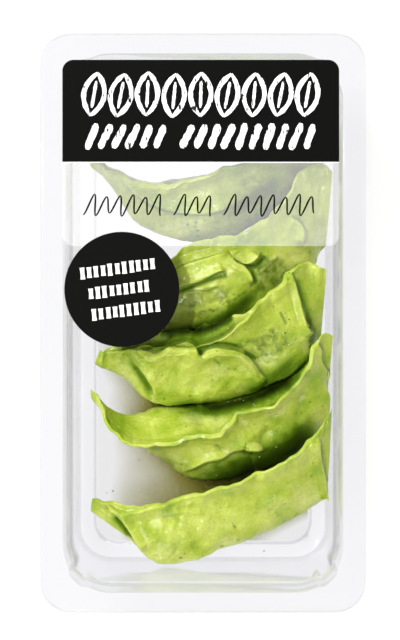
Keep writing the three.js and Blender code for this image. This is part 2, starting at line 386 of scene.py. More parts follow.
@dataclass(frozen=True)
class WheatDough:
    """Steamed wheat dough coloured with spinach: moist, a little see-through, paler over its rims."""

    name: str
    seed: float
    deep: str = "9dbb2a"
    middle: str = "bccd42"
    light: str = "d4e064"
    pale: str = "e2e68a"
    rim: str = "d3e070"
    herb: str = "4c6412"
    filling_dark: str = "6f851c"
    filling_middle: str = "94a934"
    filling_light: str = "bdcb68"
    # Painted shade: crevice darkens folds, tears and parted lips; dusk and night darken the gaps between
    # dumplings.
    crevice: str = "6f8d16"
    dusk: str = "75991c"
    night: str = "202d03"
    patch_mm: float = 9.0
    herb_mm: float = 2.4
    pore_mm: float = 0.7
    chunk_mm: float = 3.0

    def make(self) -> Material:
        """Build the material.

        Returns:
            A principled shader whose colour follows the dough's painted attributes.
        """
        material, tree = blank_material(self.name)
        spots = add_node(tree, "TexCoord").outputs["Object"]
        place = add_node(
            tree, "Mapping", {"Vector": spots, "Location": (self.seed * 0.013, self.seed * 0.007, 0.0)}
        )
        vector = place
        rim, belly, fold, pale, wet, herb, shade, deep = (
            add_node(tree, "Attribute", attribute_name=name).outputs["Fac"]
            for name in ("rim", "belly", "fold", "pale", "wet", "herb", "shade", "deep")
        )
        broad = add_node(
            tree, "TexNoise", {"Vector": vector, "Scale": per_mm(self.patch_mm), "Detail": 4.0}
        )
        tones = add_node(tree, "ValToRGB", {"Fac": broad}, (
            (0.32, linear(self.deep)), (0.48, linear(self.middle)), (0.68, linear(self.light))
        ))
        colour = tones
        colour = self._thin_patches(tree, vector, belly, pale, colour)
        colour = self._herbs_beneath(tree, vector, belly, colour)
        colour = self._bare_filling(tree, vector, wet, colour)
        # Painted shade: fold darkens towards crevice, shade and deep towards dusk and night; shade and deep
        # also cut the gloss.
        darkest = add_node(tree, "Math", {0: shade, 1: deep}, operation="MAXIMUM")
        dusk, night = (
            add_node(tree, "MapRange", {"Value": darkest, "From Min": low, "From Max": high})
            for low, high in ((0.0, 0.6), (0.4, 1.0))
        )
        layers = (
            (rim, self.rim), (fold, self.crevice), (herb, self.herb), (dusk, self.dusk), (night, self.night)
        )
        for share, tint in layers:
            mix = add_node(tree, "Mix", {0: share, 6: colour, 7: linear(tint)}, data_type="RGBA")
            colour = mix.outputs[2]
        fine = add_node(tree, "TexNoise", {"Vector": vector, "Scale": per_mm(self.pore_mm), "Detail": 3.0})
        freckle = add_node(tree, "MapRange", {
            "Value": fine, "From Min": 0.35, "From Max": 0.65, "To Min": 0.9, "To Max": 1.04
        })
        freckled = {0: 1.0, 6: colour, 7: freckle}
        colour = add_node(tree, "Mix", freckled, data_type="RGBA", blend_type="MULTIPLY").outputs[2]
        gloss = add_node(tree, "MapRange", {
            "Value": darkest, "From Min": 0.0, "From Max": 0.7, "To Min": 0.5, "To Max": 0.06
        })
        dimple = add_node(tree, "TexNoise", {"Vector": vector, "Scale": per_mm(3.1), "Detail": 2.0})
        relief = add_node(tree, "Math", {0: dimple, 1: 2.2, 2: fine}, operation="MULTIPLY_ADD")
        bump = add_node(tree, "Bump", {"Height": relief, "Strength": 0.7, "Distance": 0.26 * MM})
        moist = add_node(tree, "MapRange", {
            "Value": dimple, "From Min": 0.3, "From Max": 0.7, "To Min": 0.26, "To Max": 0.5
        })
        sheen = add_node(
            tree, "Math", {0: wet, 1: -0.12, 2: moist}, operation="MULTIPLY_ADD", use_clamp=True
        )
        skin = add_node(tree, "BsdfPrincipled", {
            "Base Color": colour, "Roughness": sheen, "IOR": 1.42, "Subsurface Weight": 0.35,
            "Subsurface Radius": (1.0, 0.9, 0.3), "Subsurface Scale": 1.4 * MM, "Specular IOR Level": gloss,
            "Coat Weight": gloss, "Coat Roughness": 0.07, "Coat IOR": 1.42, "Normal": bump,
        })
        return show(material, skin)

    def _thin_patches(
        self, tree: NodeTree, vector: NodeSocket, belly: NodeSocket, pale: NodeSocket, colour: NodeSocket
    ) -> NodeSocket:
        """Lighten the places where the stretched dough lets the pale filling through.

        Args:
            tree: The node tree.
            vector: The pattern's coordinates.
            belly: How far the filling swells the dough.
            pale: Where the dough is thinnest.
            colour: The colour so far.

        Returns:
            The colour's socket.
        """
        patches = add_node(tree, "TexNoise", {"Vector": vector, "Scale": per_mm(12.0), "Detail": 5.0})
        spread = add_node(
            tree, "MapRange", {"Value": patches, "From Min": 0.5, "From Max": 0.7, "To Max": 0.75}
        )
        amount = add_node(
            tree, "Math", {0: spread, 1: belly, 2: pale}, operation="MULTIPLY_ADD", use_clamp=True
        )
        mottle = add_node(tree, "TexNoise", {"Vector": vector, "Scale": per_mm(1.6), "Detail": 3.0})
        broken = add_node(tree, "MapRange", {
            "Value": mottle, "From Min": 0.35, "From Max": 0.6, "To Min": 0.45, "To Max": 1.0
        })
        share = add_node(tree, "Math", {0: amount, 1: broken}, operation="MULTIPLY")
        veil = {0: share, 6: colour, 7: linear(self.pale)}
        return add_node(tree, "Mix", veil, data_type="RGBA").outputs[2]

    def _herbs_beneath(
        self, tree: NodeTree, vector: NodeSocket, belly: NodeSocket, colour: NodeSocket
    ) -> NodeSocket:
        """Darken small blurred spots where chopped leek and cabbage lie just under the dough.

        Args:
            tree: The node tree.
            vector: The pattern's coordinates.
            belly: How far the filling swells the dough.
            colour: The colour so far.

        Returns:
            The colour's socket.
        """
        cells = add_node(
            tree, "TexVoronoi", {"Vector": vector, "Scale": per_mm(self.herb_mm), "Randomness": 1.0}
        )
        spot = add_node(
            tree, "MapRange", {"Value": cells, "From Min": 0.4, "From Max": 0.16, "To Max": 0.7}
        )
        chosen = add_node(tree, "TexNoise", {"Vector": vector, "Scale": per_mm(5.0), "Detail": 1.0})
        some = add_node(tree, "MapRange", {"Value": chosen, "From Min": 0.55, "From Max": 0.64})
        both = add_node(tree, "Math", {0: spot, 1: some}, operation="MULTIPLY")
        amount = add_node(tree, "Math", {0: both, 1: belly}, operation="MULTIPLY")
        dotted = {0: amount, 6: colour, 7: linear(self.herb)}
        return add_node(tree, "Mix", dotted, data_type="RGBA").outputs[2]

    def _bare_filling(
        self, tree: NodeTree, vector: NodeSocket, wet: NodeSocket, colour: NodeSocket
    ) -> NodeSocket:
        """Show chopped filling where the dough is glassy or has torn.

        Args:
            tree: The node tree.
            vector: The pattern's coordinates.
            wet: Where the filling shows.
            colour: The colour so far.

        Returns:
            The colour's socket.
        """
        chunks = add_node(tree, "TexNoise", {
            "Vector": vector, "Scale": per_mm(self.chunk_mm), "Detail": 3.0, "Distortion": 0.6
        })
        filling = add_node(tree, "ValToRGB", {"Fac": chunks}, (
            (0.28, linear(self.herb)), (0.4, linear(self.filling_dark)),
            (0.52, linear(self.filling_middle)), (0.7, linear(self.filling_light)),
        ))
        bare = {0: wet, 6: colour, 7: filling}
        return add_node(tree, "Mix", bare, data_type="RGBA").outputs[2]


@dataclass(frozen=True)
class PrintedInk:
    """Offset ink on label stock: an even field with the faint mottle of its satin varnish."""

    name: str
    colour: str
    mottle: float = 0.06
    roughness: float = 0.6
    shine: float = 0.03
    grain_mm: float = 0.5

    def make(self) -> Material:
        """Build the material.

        Returns:
            A satin principled shader with fine paper grain.
        """
        material, tree = blank_material(self.name)
        spots = add_node(tree, "TexCoord").outputs["Object"]
        grain = add_node(tree, "TexNoise", {"Vector": spots, "Scale": per_mm(self.grain_mm), "Detail": 3.0})
        base = linear(self.colour)
        dark = tuple(v * (1.0 - self.mottle) for v in base[:3]) + (1.0,)
        colour = add_node(tree, "ValToRGB", {"Fac": grain}, ((0.3, dark), (0.7, base)))
        bump = add_node(tree, "Bump", {"Height": grain, "Strength": 0.15, "Distance": 0.02 * MM})
        ink = add_node(tree, "BsdfPrincipled", {
            "Base Color": colour, "Roughness": self.roughness, "Specular IOR Level": self.shine,
            "Normal": bump,
        })
        return show(material, ink)


@dataclass(frozen=True)
class DryBrushInk:
    """White ink laid with a dry brush: bristle streaks let the black below show through."""

    name: str
    light: str = "fbfbf9"
    dark: str = "1c1c1a"
    bristle_mm: float = 0.55

    def make(self) -> Material:
        """Build the material.

        Returns:
            A satin shader whose streaks run up the stroke.
        """
        material, tree = blank_material(self.name)
        spots = add_node(tree, "TexCoord").outputs["Object"]
        drawn = add_node(
            tree, "Mapping", {"Vector": spots, "Scale": (1.0, 0.16, 1.0), "Rotation": (0.0, 0.0, 0.12)}
        )
        bristles = add_node(
            tree, "TexNoise", {"Vector": drawn, "Scale": per_mm(self.bristle_mm), "Detail": 2.0}
        )
        patches = add_node(tree, "TexNoise", {"Vector": spots, "Scale": per_mm(4.0), "Detail": 2.0})
        dry = add_node(tree, "Math", {0: bristles, 1: patches}, operation="ADD")
        halved = add_node(tree, "Math", {0: dry, 1: 0.5}, operation="MULTIPLY")
        colour = add_node(tree, "ValToRGB", {"Fac": halved}, (
            (0.0, linear(self.light)), (0.575, linear(self.light)), (0.6, linear(self.dark))
        ))
        ink = add_node(
            tree, "BsdfPrincipled", {"Base Color": colour, "Roughness": 0.5, "Specular IOR Level": 0.15}
        )
        return show(material, ink)


@dataclass(frozen=True)
class WhitenedFilm:
    """Clear label film flooded with a thin white ink, so that what lies under it shows as a pale ghost."""

    name: str
    cover: float = 0.115
    white: str = "fafaf7"

    def make(self) -> Material:
        """Build the material.

        Returns:
            A principled shader of even, partial alpha.
        """
        material, tree = blank_material(self.name)
        spots = add_node(tree, "TexCoord").outputs["Object"]
        mottle = add_node(tree, "TexNoise", {"Vector": spots, "Scale": per_mm(1.2), "Detail": 2.0})
        base = linear(self.white)
        shade = tuple(v * 0.985 for v in base[:3]) + (1.0,)
        colour = add_node(tree, "ValToRGB", {"Fac": mottle}, ((0.35, shade), (0.65, base)))
        veil = add_node(tree, "BsdfPrincipled", {
            "Base Color": colour, "Roughness": 0.4, "Specular IOR Level": 0.3, "Alpha": self.cover
        })
        return show(material, veil)


@dataclass(frozen=True)
class ChoppedHerb:
    """Chopped leek green: small wet fibrous bits, dark with a lighter cut side."""

    name: str = "chopped_leek_green"
    dark: str = "3f5a12"
    light: str = "6f8c24"

    def make(self) -> Material:
        """Build the material.

        Returns:
            A wet principled shader with fibre-scale colour.
        """
        material, tree = blank_material(self.name)
        spots = add_node(tree, "TexCoord").outputs["Object"]
        fibre = add_node(tree, "TexNoise", {"Vector": spots, "Scale": per_mm(0.6), "Detail": 2.0})
        tones = ((0.35, linear(self.dark)), (0.65, linear(self.light)))
        colour = add_node(tree, "ValToRGB", {"Fac": fibre}, tones)
        skin = {"Base Color": colour, "Roughness": 0.35}
        wet = add_node(tree, "BsdfPrincipled", skin)
        return show(material, wet)


@dataclass(frozen=True)
class DoughCrumb:
    """Tiny scraps of cooked dough: paler than the wrapper, because they are thin and dry."""

    name: str = "dried_dough_crumb"
    colour: str = "e2e8b0"

    def make(self) -> Material:
        """Build the material.

        Returns:
            A plain satin principled shader.
        """
        material, tree = blank_material(self.name)
        crumb = add_node(tree, "BsdfPrincipled", {"Base Color": linear(self.colour), "Roughness": 0.45})
        return show(material, crumb)


@dataclass(frozen=True)
class FloorShadeTint:
    """A thin clear sheet with painted shade: clear in the open, tinted like green bounced light and shadow
    under the food.
    """

    name: str = "painted_floor_shade"
    open_tint: str = "fefefd"
    closed_tint: str = "b4b078"
    shut_tint: str = "3a4410"

    def make(self) -> Material:
        """Build the material.

        Returns:
            A see-through shader whose tint follows the closed_in attribute.
        """
        material, tree = blank_material(self.name)
        closed_in = add_node(tree, "Attribute", attribute_name="closed_in")
        tint = add_node(tree, "ValToRGB", {"Fac": closed_in.outputs["Fac"]}, (
            (0.26, linear(self.open_tint)), (0.74, linear(self.closed_tint)), (0.96, linear(self.shut_tint))
        ))
        clear = add_node(tree, "BsdfTransparent", {"Color": tint})
        return show(material, clear)


@dataclass(frozen=True)
class OpalAcrylic:
    """Matt opal acrylic lit from beneath: an even pale ground that softens the pack's shadow."""

    name: str = "backlit_opal_acrylic"
    colour: str = "525252"
    light: str = "fffffe"
    glow: float = 0.905

    def make(self) -> Material:
        """Build the material.

        Returns:
            A matt principled shader that gives off an even light.
        """
        material, tree = blank_material(self.name)
        board = add_node(tree, "BsdfPrincipled", {
            "Base Color": linear(self.colour), "Roughness": 0.9, "Specular IOR Level": 0.1,
            "Emission Color": linear(self.light), "Emission Strength": self.glow,
        })
        return show(material, board)


# ---- curves ----


class Spacing(Enum):
    """How a curve's speed follows the distances between its points."""

    EVEN = 0.0
    CENTRIPETAL = 0.25


def through_points(points: np.ndarray, at: np.ndarray, spacing: Spacing) -> np.ndarray:
    """Follow a smooth curve through points, with an equal share of the way between each two.

    Args:
        points: The points, one row each.
        at: Where to read the curve, from 0 to 1.
        spacing: How its speed follows the distances between points.

    Returns:
        The curve's values, one row for each place.
    """
    last = len(points) - 1
    padded = np.vstack([2 * points[0] - points[1], points, 2 * points[-1] - points[-2]])
    along = np.clip(at, 0.0, 1.0) * last
    piece = np.minimum(along.astype(int), last - 1)
    t = (along - piece)[:, None]
    p0, p1, p2, p3 = (padded[piece + k] for k in range(4))
    if spacing is Spacing.EVEN:
        start, end = 0.5 * (p2 - p0), 0.5 * (p3 - p1)
    else:
        power = spacing.value
        d0, d1, d2 = (
            np.maximum(((b - a) ** 2).sum(axis=1, keepdims=True), 1e-12) ** power
            for a, b in ((p0, p1), (p1, p2), (p2, p3))
        )
        start = d1 * ((p1 - p0) / d0 - (p2 - p0) / (d0 + d1) + (p2 - p1) / d1)
        end = d1 * ((p2 - p1) / d1 - (p3 - p1) / (d1 + d2) + (p3 - p2) / d2)
    c2 = -3 * p1 + 3 * p2 - 2 * start - end
    c3 = 2 * p1 - 2 * p2 + start + end
    return p1 + start * t + c2 * t**2 + c3 * t**3


def unit(vectors: np.ndarray) -> np.ndarray:
    """Scale vectors to length 1 along the last axis."""
    return vectors / np.maximum(np.linalg.norm(vectors, axis=-1, keepdims=True), 1e-12)


def wrapped(points: np.ndarray, paint: dict[str, np.ndarray]) -> Mesh:
    """Wrap a ball's mesh onto a grid of stations by places round the section.

    Args:
        points: The grid's points in millimetres, with all points alike at its first and last station.
        paint: Attributes by name, one value for each point.

    Returns:
        The closed mesh.
    """
    last, around = points.shape[0] - 1, points.shape[1]
    ball = bmesh.new()
    bmesh.ops.create_uvsphere(ball, u_segments=around, v_segments=last, radius=1.0)
    mesh = bpy.data.meshes.new("wrapped")
    ball.to_mesh(mesh)
    ball.free()
    grid = np.empty(len(mesh.vertices) * 3)
    mesh.vertices.foreach_get("co", grid)
    grid = grid.reshape(-1, 3)
    station = np.rint(np.arccos(np.clip(-grid[:, 2], -1, 1)) / np.pi * last).astype(int)
    place = np.rint(np.arctan2(grid[:, 1], grid[:, 0]) / (2 * np.pi) * around).astype(int) % around
    mesh.vertices.foreach_set("co", (points[station, place] * MM).ravel())
    for name, values in paint.items():
        paint_points(mesh, name, values[station, place])
    mesh.update()
    shape = bmesh.new()
    shape.from_mesh(mesh)
    bpy.data.meshes.remove(mesh)
    return closed_mesh(shape)


# ---- dumplings ----


class Relief(Enum):
    """How a line marks the dough."""

    LAYER = "the dough on the line's left lies over the dough on its right"
    FLAP = "a free edge: a sheet of dough on the line's left lies over the dough on its right"
    RIDGE = "a soft ridge"
    CREASE = "a soft valley"
    SLIT = "a narrow tear"
    SHADE = "no relief, but the shade of a gap"


class Stain(Enum):
    """What a patch of dough shows."""

    PALE = "pale"
    WET = "wet"
    HERB = "herb"


@dataclass(frozen=True)
class Line:
    """A fold, ridge, crease or shaded gap, in millimetres on the lid's plane as the eye sees it.

    height is how far the dough rises there, or how dark the shade is, and reach how wide it spreads.
    fades is the share of the path over which each end dies away.
    """

    relief: Relief
    path: tuple[Mark, ...]
    height: float = 1.0
    reach: float = 7.0
    fades: float = 0.12


@dataclass(frozen=True)
class Patch:
    """A stained patch of dough, drawn in millimetres on the lid's plane as the eye sees it."""

    stain: Stain
    centre: Mark
    radii: Mark
    turn: float = 0.0
    strength: float = 1.0


@dataclass
class CreviceShade:
    """Darkens dough deep between its neighbours, where light arrives green after many bounces."""

    reach: float = 24.0
    rays: int = 20
    stride: int = 3
    least: float = 0.34
    most: float = 0.8
    darkest: float = 0.9
    clear: float = 0.3

    def closed(self, places: list[Vector], under: BVHTree) -> np.ndarray:
        """Measure how closed in places are, by rays over the upper half of space, denser overhead.

        Args:
            places: The places, in metres.
            under: What may stand in the rays' way.

        Returns:
            The share of each place's rays that is stopped.
        """
        golden = math.pi * (3 - math.sqrt(5))
        ways = []
        for k in range(self.rays):
            out = math.sqrt((k + 0.5) / self.rays) * 0.97
            across = (out * math.cos(golden * k), out * math.sin(golden * k))
            ways.append(Vector((*across, math.sqrt(1 - out * out))))
        reach = self.reach * MM
        stopped = [sum(under.ray_cast(place, way, reach)[0] is not None for way in ways) for place in places]
        return np.array(stopped) / self.rays

    def paint(self, families: list[list[Object]]) -> None:
        """Give every piece a deep attribute, its painted shade by how closed in it is.

        Args:
            families: The dumplings, each with the folded sheets that lie on it behind it.
        """
        tree = surfaces([family[0] for family in families])
        for family in families:
            dumpling = family[0].data
            samples = range(0, len(dumpling.vertices), self.stride**2)
            near = KDTree(len(samples))
            starts = []
            for number, index in enumerate(samples):
                vert = dumpling.vertices[index]
                near.insert(vert.co, number)
                starts.append(vert.co + vert.normal * self.clear * MM)
            near.balance()
            shut = self.closed(starts, tree)
            for piece in family:
                found = (near.find_n(vert.co, 4) for vert in piece.data.vertices)
                values = np.array([sum(shut[number] for _, number, _ in four) / 4 for four in found])
                paint_points(piece.data, "deep", self.darkest * smooth_step(self.least, self.most, values))


@dataclass(frozen=True)
class DoughSizes:
    """Sizes in millimetres that every dumpling shares.

    ear_share and lip_turn are shares of the length and of the way round, wander is the share, waves and
    shift of each part of the seam's wandering, and pleat how wide and how deep its fine creases are.
    """

    sheet: float = 0.95
    fin: float = 4.5
    groove: float = 1.0
    ear_depth: float = 3.2
    ear_share: float = 0.035
    floor: float = 2.45
    ease: float = 1.2
    room_x: Mark = (47.65, 48.75)
    room_y: Mark = (90.75, 94.25)
    room_z: Mark = (3.2, 26.6)
    lip_turn: float = 1.0 / 9.0
    wander: tuple[Point, ...] = ((0.5, 4.1, 1.0), (0.3, 8.7, 2.3), (0.2, 14.3, 0.7), (0.12, 23.9, 1.3))
    wander_depth: float = 4.0
    lump: float = 8.5
    small_lump: float = 3.6
    tiny_lump: float = 1.5
    pleat: Mark = (4.2, 15.0)
    length: float = 88.0
    around: int = 192
    along: int = 312


@dataclass
class Skin:
    """A dumpling's surface as grids of stations by places round the section, in millimetres."""

    points: np.ndarray
    down: np.ndarray
    turn: np.ndarray
    front: np.ndarray
    along: np.ndarray
    swell: np.ndarray
    open: np.ndarray

    def normals(self) -> np.ndarray:
        """Return the surface's outward unit normals."""
        along = np.gradient(self.points, axis=0)
        around = np.roll(self.points, -1, axis=1) - np.roll(self.points, 1, axis=1)
        normals = unit(np.cross(around, along))
        middle = self.points.mean(axis=1, keepdims=True)
        return normals * np.sign((normals * (self.points - middle)).sum())


@dataclass
class Gyoza:
    """One folded dumpling, from sections between its two pressed ends.

    ears holds the top and the foot of the left and the right end, seam the pressed edge's points and
    keel five points of the base, in millimetres. front and back say how far the filling swells the two
    sheets at five sections, gape how far the seam's lips stand apart there, and lower how far the front
    lip ends below the back one.
    """

    node: str
    ears: tuple[tuple[Point, Point], tuple[Point, Point]]
    seam: tuple[Point, ...]
    keel: tuple[Point, ...]
    front: tuple[float, ...]
    back: tuple[float, ...]
    gape: tuple[float, ...]
    lower: tuple[float, ...]
    lines: tuple[Line, ...] = ()
    patches: tuple[Patch, ...] = ()
    lump: float = 0.75
    wave: float = 0.6
    seed: int = 1
    sizes: DoughSizes = DoughSizes()

    def _eased_room(self, distance: np.ndarray, room: np.ndarray) -> np.ndarray:
        """Ease distances from the middle back inside the tray.

        Args:
            distance: Signed distances from the tray's middle.
            room: The most that each may be.

        Returns:
            The eased distances.
        """
        ease = self.sizes.ease
        spare = room - np.abs(distance)
        eased = np.sign(distance) * (room - ease * np.exp(np.minimum(spare, ease) / ease - 1))
        return np.where(spare > ease, distance, eased)

    def _rested(self, points: np.ndarray) -> np.ndarray:
        """Settle soft dough on the tray's floor and against its walls.

        Args:
            points: Points of the surface.

        Returns:
            The settled points.
        """
        sizes = self.sizes
        above = points[..., 2] - sizes.floor
        low = sizes.floor + sizes.ease * np.exp(np.minimum(above, sizes.ease) / sizes.ease - 1)
        z = np.where(above > sizes.ease, points[..., 2], low)
        x = self._eased_room(points[..., 0], np.interp(z, sizes.room_z, sizes.room_x))
        y = self._eased_room(points[..., 1], np.interp(z, sizes.room_z, sizes.room_y))
        return np.stack([x, y, z], axis=-1)

    def _values(self, values: tuple[float, ...], at: np.ndarray) -> np.ndarray:
        """Read a row of values along the dumpling, 0 at both ears, as a column."""
        row = np.array([[0.0], *([v] for v in values), [0.0]])
        return np.maximum(0.0, through_points(row, at, Spacing.EVEN))

    def skin(self) -> Skin:
        """Work out the smooth surface, from the top of the seam over the front to the keel and back up.

        Returns:
            The surface's grids.
        """
        sizes = self.sizes
        at = np.linspace(0.0, 1.0, sizes.along + 1)
        around = np.arange(sizes.around) / sizes.around
        tops, feet = zip(*self.ears)
        inside = np.clip(at, 1e-3, 1 - 1e-3)
        step = 1e-3
        curves, tangents = [], []
        for middle, (left, right) in ((self.seam, tops), (self.keel, feet)):
            ends = np.array([left, *middle, right], dtype=float)
            before, here, after = (
                through_points(ends, inside + shift, Spacing.CENTRIPETAL) for shift in (-step, 0.0, step)
            )
            curves.append(here)
            tangents.append(unit(after - before))
        seam, keel = curves
        drop = keel - seam
        length = np.linalg.norm(drop, axis=1)
        drop = unit(drop)
        forward = unit(np.cross(drop, tangents[0] + tangents[1]))
        near_ear = np.sqrt(np.minimum(1.0, np.minimum(at, 1 - at) / sizes.ear_share))[:, None]
        height = np.hypot(length, sizes.ear_depth * near_ear[:, 0])[:, None]
        front = (around <= 0.5)[None, :]
        turn = np.where(front, 2 * around, 2 - 2 * around)
        gape = self._values(self.gape, at)
        parted = smooth_step(0.5, 1.6, gape)
        half = sizes.sheet * near_ear
        lip_half = half * (0.42 + 0.45 * parted)
        front_lip = np.minimum(self._values(self.lower, at), 0.4 * height)
        lip = front_lip * front
        apart = np.minimum(gape, 0.3 * height) * near_ear
        groove = np.minimum(0.55 * height, front_lip + sizes.groove * near_ear + apart)
        rise = np.clip(turn / sizes.lip_turn, 0.0, 1.0)
        bead = np.clip(turn / sizes.lip_turn - 1.0, 0.0, 1.0)
        open_out = np.where(
            turn <= sizes.lip_turn, (0.3 * lip_half + apart) * rise,
            apart + lip_half * (0.65 - 0.35 * np.cos(np.pi * bead)),
        )
        open_down = np.where(
            turn <= sizes.lip_turn, groove + (lip - groove) * rise,
            lip - 0.4 * lip_half * np.sin(np.pi * bead),
        )
        crest = np.clip(turn / (2 * sizes.lip_turn), 0.0, 1.0) * np.pi / 2
        shut_out = (lip_half + apart) * np.sin(crest)
        shut_down = lip * np.sin(crest) ** 2 - 0.5 * lip_half * np.cos(crest)
        side = np.clip((turn - 2 * sizes.lip_turn) / (1 - 2 * sizes.lip_turn), 0.0, 1.0)
        eased = 0.5 * side + 0.25 * (1 - np.cos(np.pi * side))
        side_down = lip + (height - lip) * eased
        fin = np.minimum(sizes.fin, 0.25 * height)
        belly = np.clip((side_down - fin) / (height - fin), 0.0, 1.0)
        swell = np.where(front, self._values(self.front, at), self._values(self.back, at))
        bulge = swell * 2 * belly**1.3 * np.sqrt(np.maximum(0.0, 1 - belly**3))
        thick = lip_half + (half - lip_half) * smooth_step(0.0, 4.0, side_down - lip)
        side_out = thick * np.sqrt(np.maximum(0.0, 1 - eased**6)) + apart * (1 - smooth_step(0, 0.7, eased))
        side_out = side_out + bulge
        on_lip = turn <= 2 * sizes.lip_turn
        down = np.where(on_lip, shut_down + (open_down - shut_down) * parted, side_down)
        out = np.where(on_lip, shut_out + (open_out - shut_out) * parted, side_out)
        sign = np.where(front, 1.0, -1.0)
        middle = 0.5 * (seam + keel)
        points = middle[:, None, :] + drop[:, None, :] * (down - height / 2)[..., None]
        points = points + forward[:, None, :] * (out * sign)[..., None]
        points = points + self._fin_wave(at, down, forward, near_ear)
        points[0], points[-1] = middle[0], middle[-1]
        shape = down.shape
        return Skin(
            points=self._rested(points), down=down, turn=np.broadcast_to(turn, shape),
            front=np.broadcast_to(front, shape), along=np.broadcast_to(at[:, None], shape),
            swell=np.broadcast_to(bulge / 12.0, shape), open=np.broadcast_to(parted, shape),
        )

    def _fin_wave(
        self, at: np.ndarray, down: np.ndarray, forward: np.ndarray, near_ear: np.ndarray
    ) -> np.ndarray:
        """Let the pressed fin wander to and fro along the seam, as soft dough does.

        Args:
            at: Stations along the dumpling.
            down: Distances down from the seam.
            forward: The direction towards the front at each station.
            near_ear: How full the section is at each station.

        Returns:
            Offsets of the points.
        """
        phase = 1.7 * self.seed
        parts = self.sizes.wander
        wander = sum(part * np.sin(2 * np.pi * waves * at + shift * phase) for part, waves, shift in parts)
        fade = np.exp(-np.maximum(down, 0.0) / self.sizes.wander_depth)
        rise = np.zeros_like(forward)
        rise[:, 2] = 0.45
        return (self.wave * wander[:, None] * fade * near_ear)[..., None] * (forward + rise)[:, None, :]

    def _lumps(self, skin: Skin) -> np.ndarray:
        """Raise lumps of filling and fine creases of stretched dough.

        Args:
            skin: The surface so far.

        Returns:
            How far each point moves along its normal.
        """
        sizes = self.sizes
        broad = soft_noise(skin.points / sizes.lump, self.seed)
        small = soft_noise(skin.points / sizes.small_lump, self.seed + 20)
        tiny = soft_noise(skin.points / sizes.tiny_lump, self.seed + 40)
        along = skin.along * sizes.length / sizes.pleat[0]
        cloth = np.stack([along, skin.down / sizes.pleat[1], skin.front * 7.0], axis=-1)
        crease = soft_noise(cloth, self.seed + 60)
        belly = smooth_step(0.1, 0.6, skin.swell)
        outside = smooth_step(0.2, 0.34, skin.turn)
        ends = smooth_step(0.0, 0.05, np.minimum(skin.along, 1 - skin.along))
        filling = self.lump * belly * (broad + 0.4 * small)
        ridges = -0.4 * np.abs(crease) * (1 - 0.5 * belly)
        return (filling + ridges + 0.1 * tiny) * outside * ends

    def _line_relief(self, place: np.ndarray, line: Line) -> tuple[np.ndarray, np.ndarray]:
        """Work out what one line does to the surface.

        Args:
            place: The surface's points on the lid's plane.
            line: The line.

        Returns:
            How far each point moves along its normal, and how much of a crevice's shade it takes.
        """
        fine = through_points(
            np.array(line.path), np.linspace(0, 1, 6 * len(line.path)), Spacing.CENTRIPETAL
        )
        best = np.full(place.shape[:-1], 1e9)
        signed, share = np.zeros_like(best), np.zeros_like(best)
        for k, (a, b) in enumerate(zip(fine[:-1], fine[1:])):
            edge = b - a
            t = np.clip(((place - a) @ edge) / (edge @ edge), 0.0, 1.0)
            distance = np.linalg.norm(place - (a + t[..., None] * edge), axis=-1)
            left_of = np.sign(edge[0] * (place[..., 1] - a[1]) - edge[1] * (place[..., 0] - a[0]))
            nearer = distance < best
            signed = np.where(nearer, distance * left_of, signed)
            share = np.where(nearer, (k + t) / (len(fine) - 1), share)
            best = np.minimum(best, distance)
        fade = smooth_step(0.0, line.fades, share) * smooth_step(0.0, line.fades, 1 - share)
        if line.relief in (Relief.LAYER, Relief.FLAP):
            over = smooth_step(-0.3, 0.3, signed)
            bead = 1 + 0.2 * np.exp(-(((signed - 0.9) / 0.6) ** 2))
            lift = over * bead * np.exp(-np.maximum(signed, 0.0) / line.reach)
            lift = lift - 0.4 * np.exp(-(((signed + 1.0) / 1.1) ** 2))
            return fade * line.height * lift, fade * np.exp(-(((signed + 0.5) / 0.45) ** 2))
        if line.relief is Relief.SHADE:
            uneven = 1 + 0.3 * flat_noise(place, 3.2, self.seed + 30)
            return np.zeros_like(best), fade * line.height * (
                1 - smooth_step(0.0, line.reach, best * uneven)
            )
        if line.relief is Relief.SLIT:
            cut = np.exp(-((best / line.reach) ** 2))
            lip = np.exp(-(((best - 2.2 * line.reach) / line.reach) ** 2))
            return fade * line.height * (0.25 * lip - cut), fade * cut
        soft = np.exp(-((best / line.reach) ** 2))
        sign = 1.0 if line.relief is Relief.RIDGE else -1.0
        return fade * line.height * sign * soft, np.zeros_like(best)

    def _patch_share(self, place: np.ndarray, patch: Patch) -> np.ndarray:
        """Work out how much of a patch each point takes, with a ragged edge.

        Args:
            place: The surface's points on the lid's plane.
            patch: The patch.

        Returns:
            Shares from 0 to 1.
        """
        turn = math.radians(patch.turn)
        away = place - np.array(patch.centre)
        x = (away[..., 0] * math.cos(turn) + away[..., 1] * math.sin(turn)) / patch.radii[0]
        y = (away[..., 1] * math.cos(turn) - away[..., 0] * math.sin(turn)) / patch.radii[1]
        ragged = 0.4 * flat_noise(place, min(2.6, 0.9 * min(patch.radii)), self.seed + 80)
        if patch.stain is Stain.HERB:
            drawn = np.stack(
                [x * patch.radii[0] / 2.2, y * patch.radii[1] / 0.7, np.zeros_like(x)], axis=-1
            )
            flecks = smooth_step(0.0, 0.55, soft_noise(drawn, self.seed + 85) + 0.3 * ragged)
            return patch.strength * flecks * (1 - smooth_step(0.5, 1.1, np.hypot(x, y) + ragged))
        soft = {Stain.PALE: 0.55, Stain.WET: 0.3}[patch.stain]
        return patch.strength * (1 - smooth_step(1 - soft, 1 + 0.5 * soft, np.hypot(x, y) + ragged))

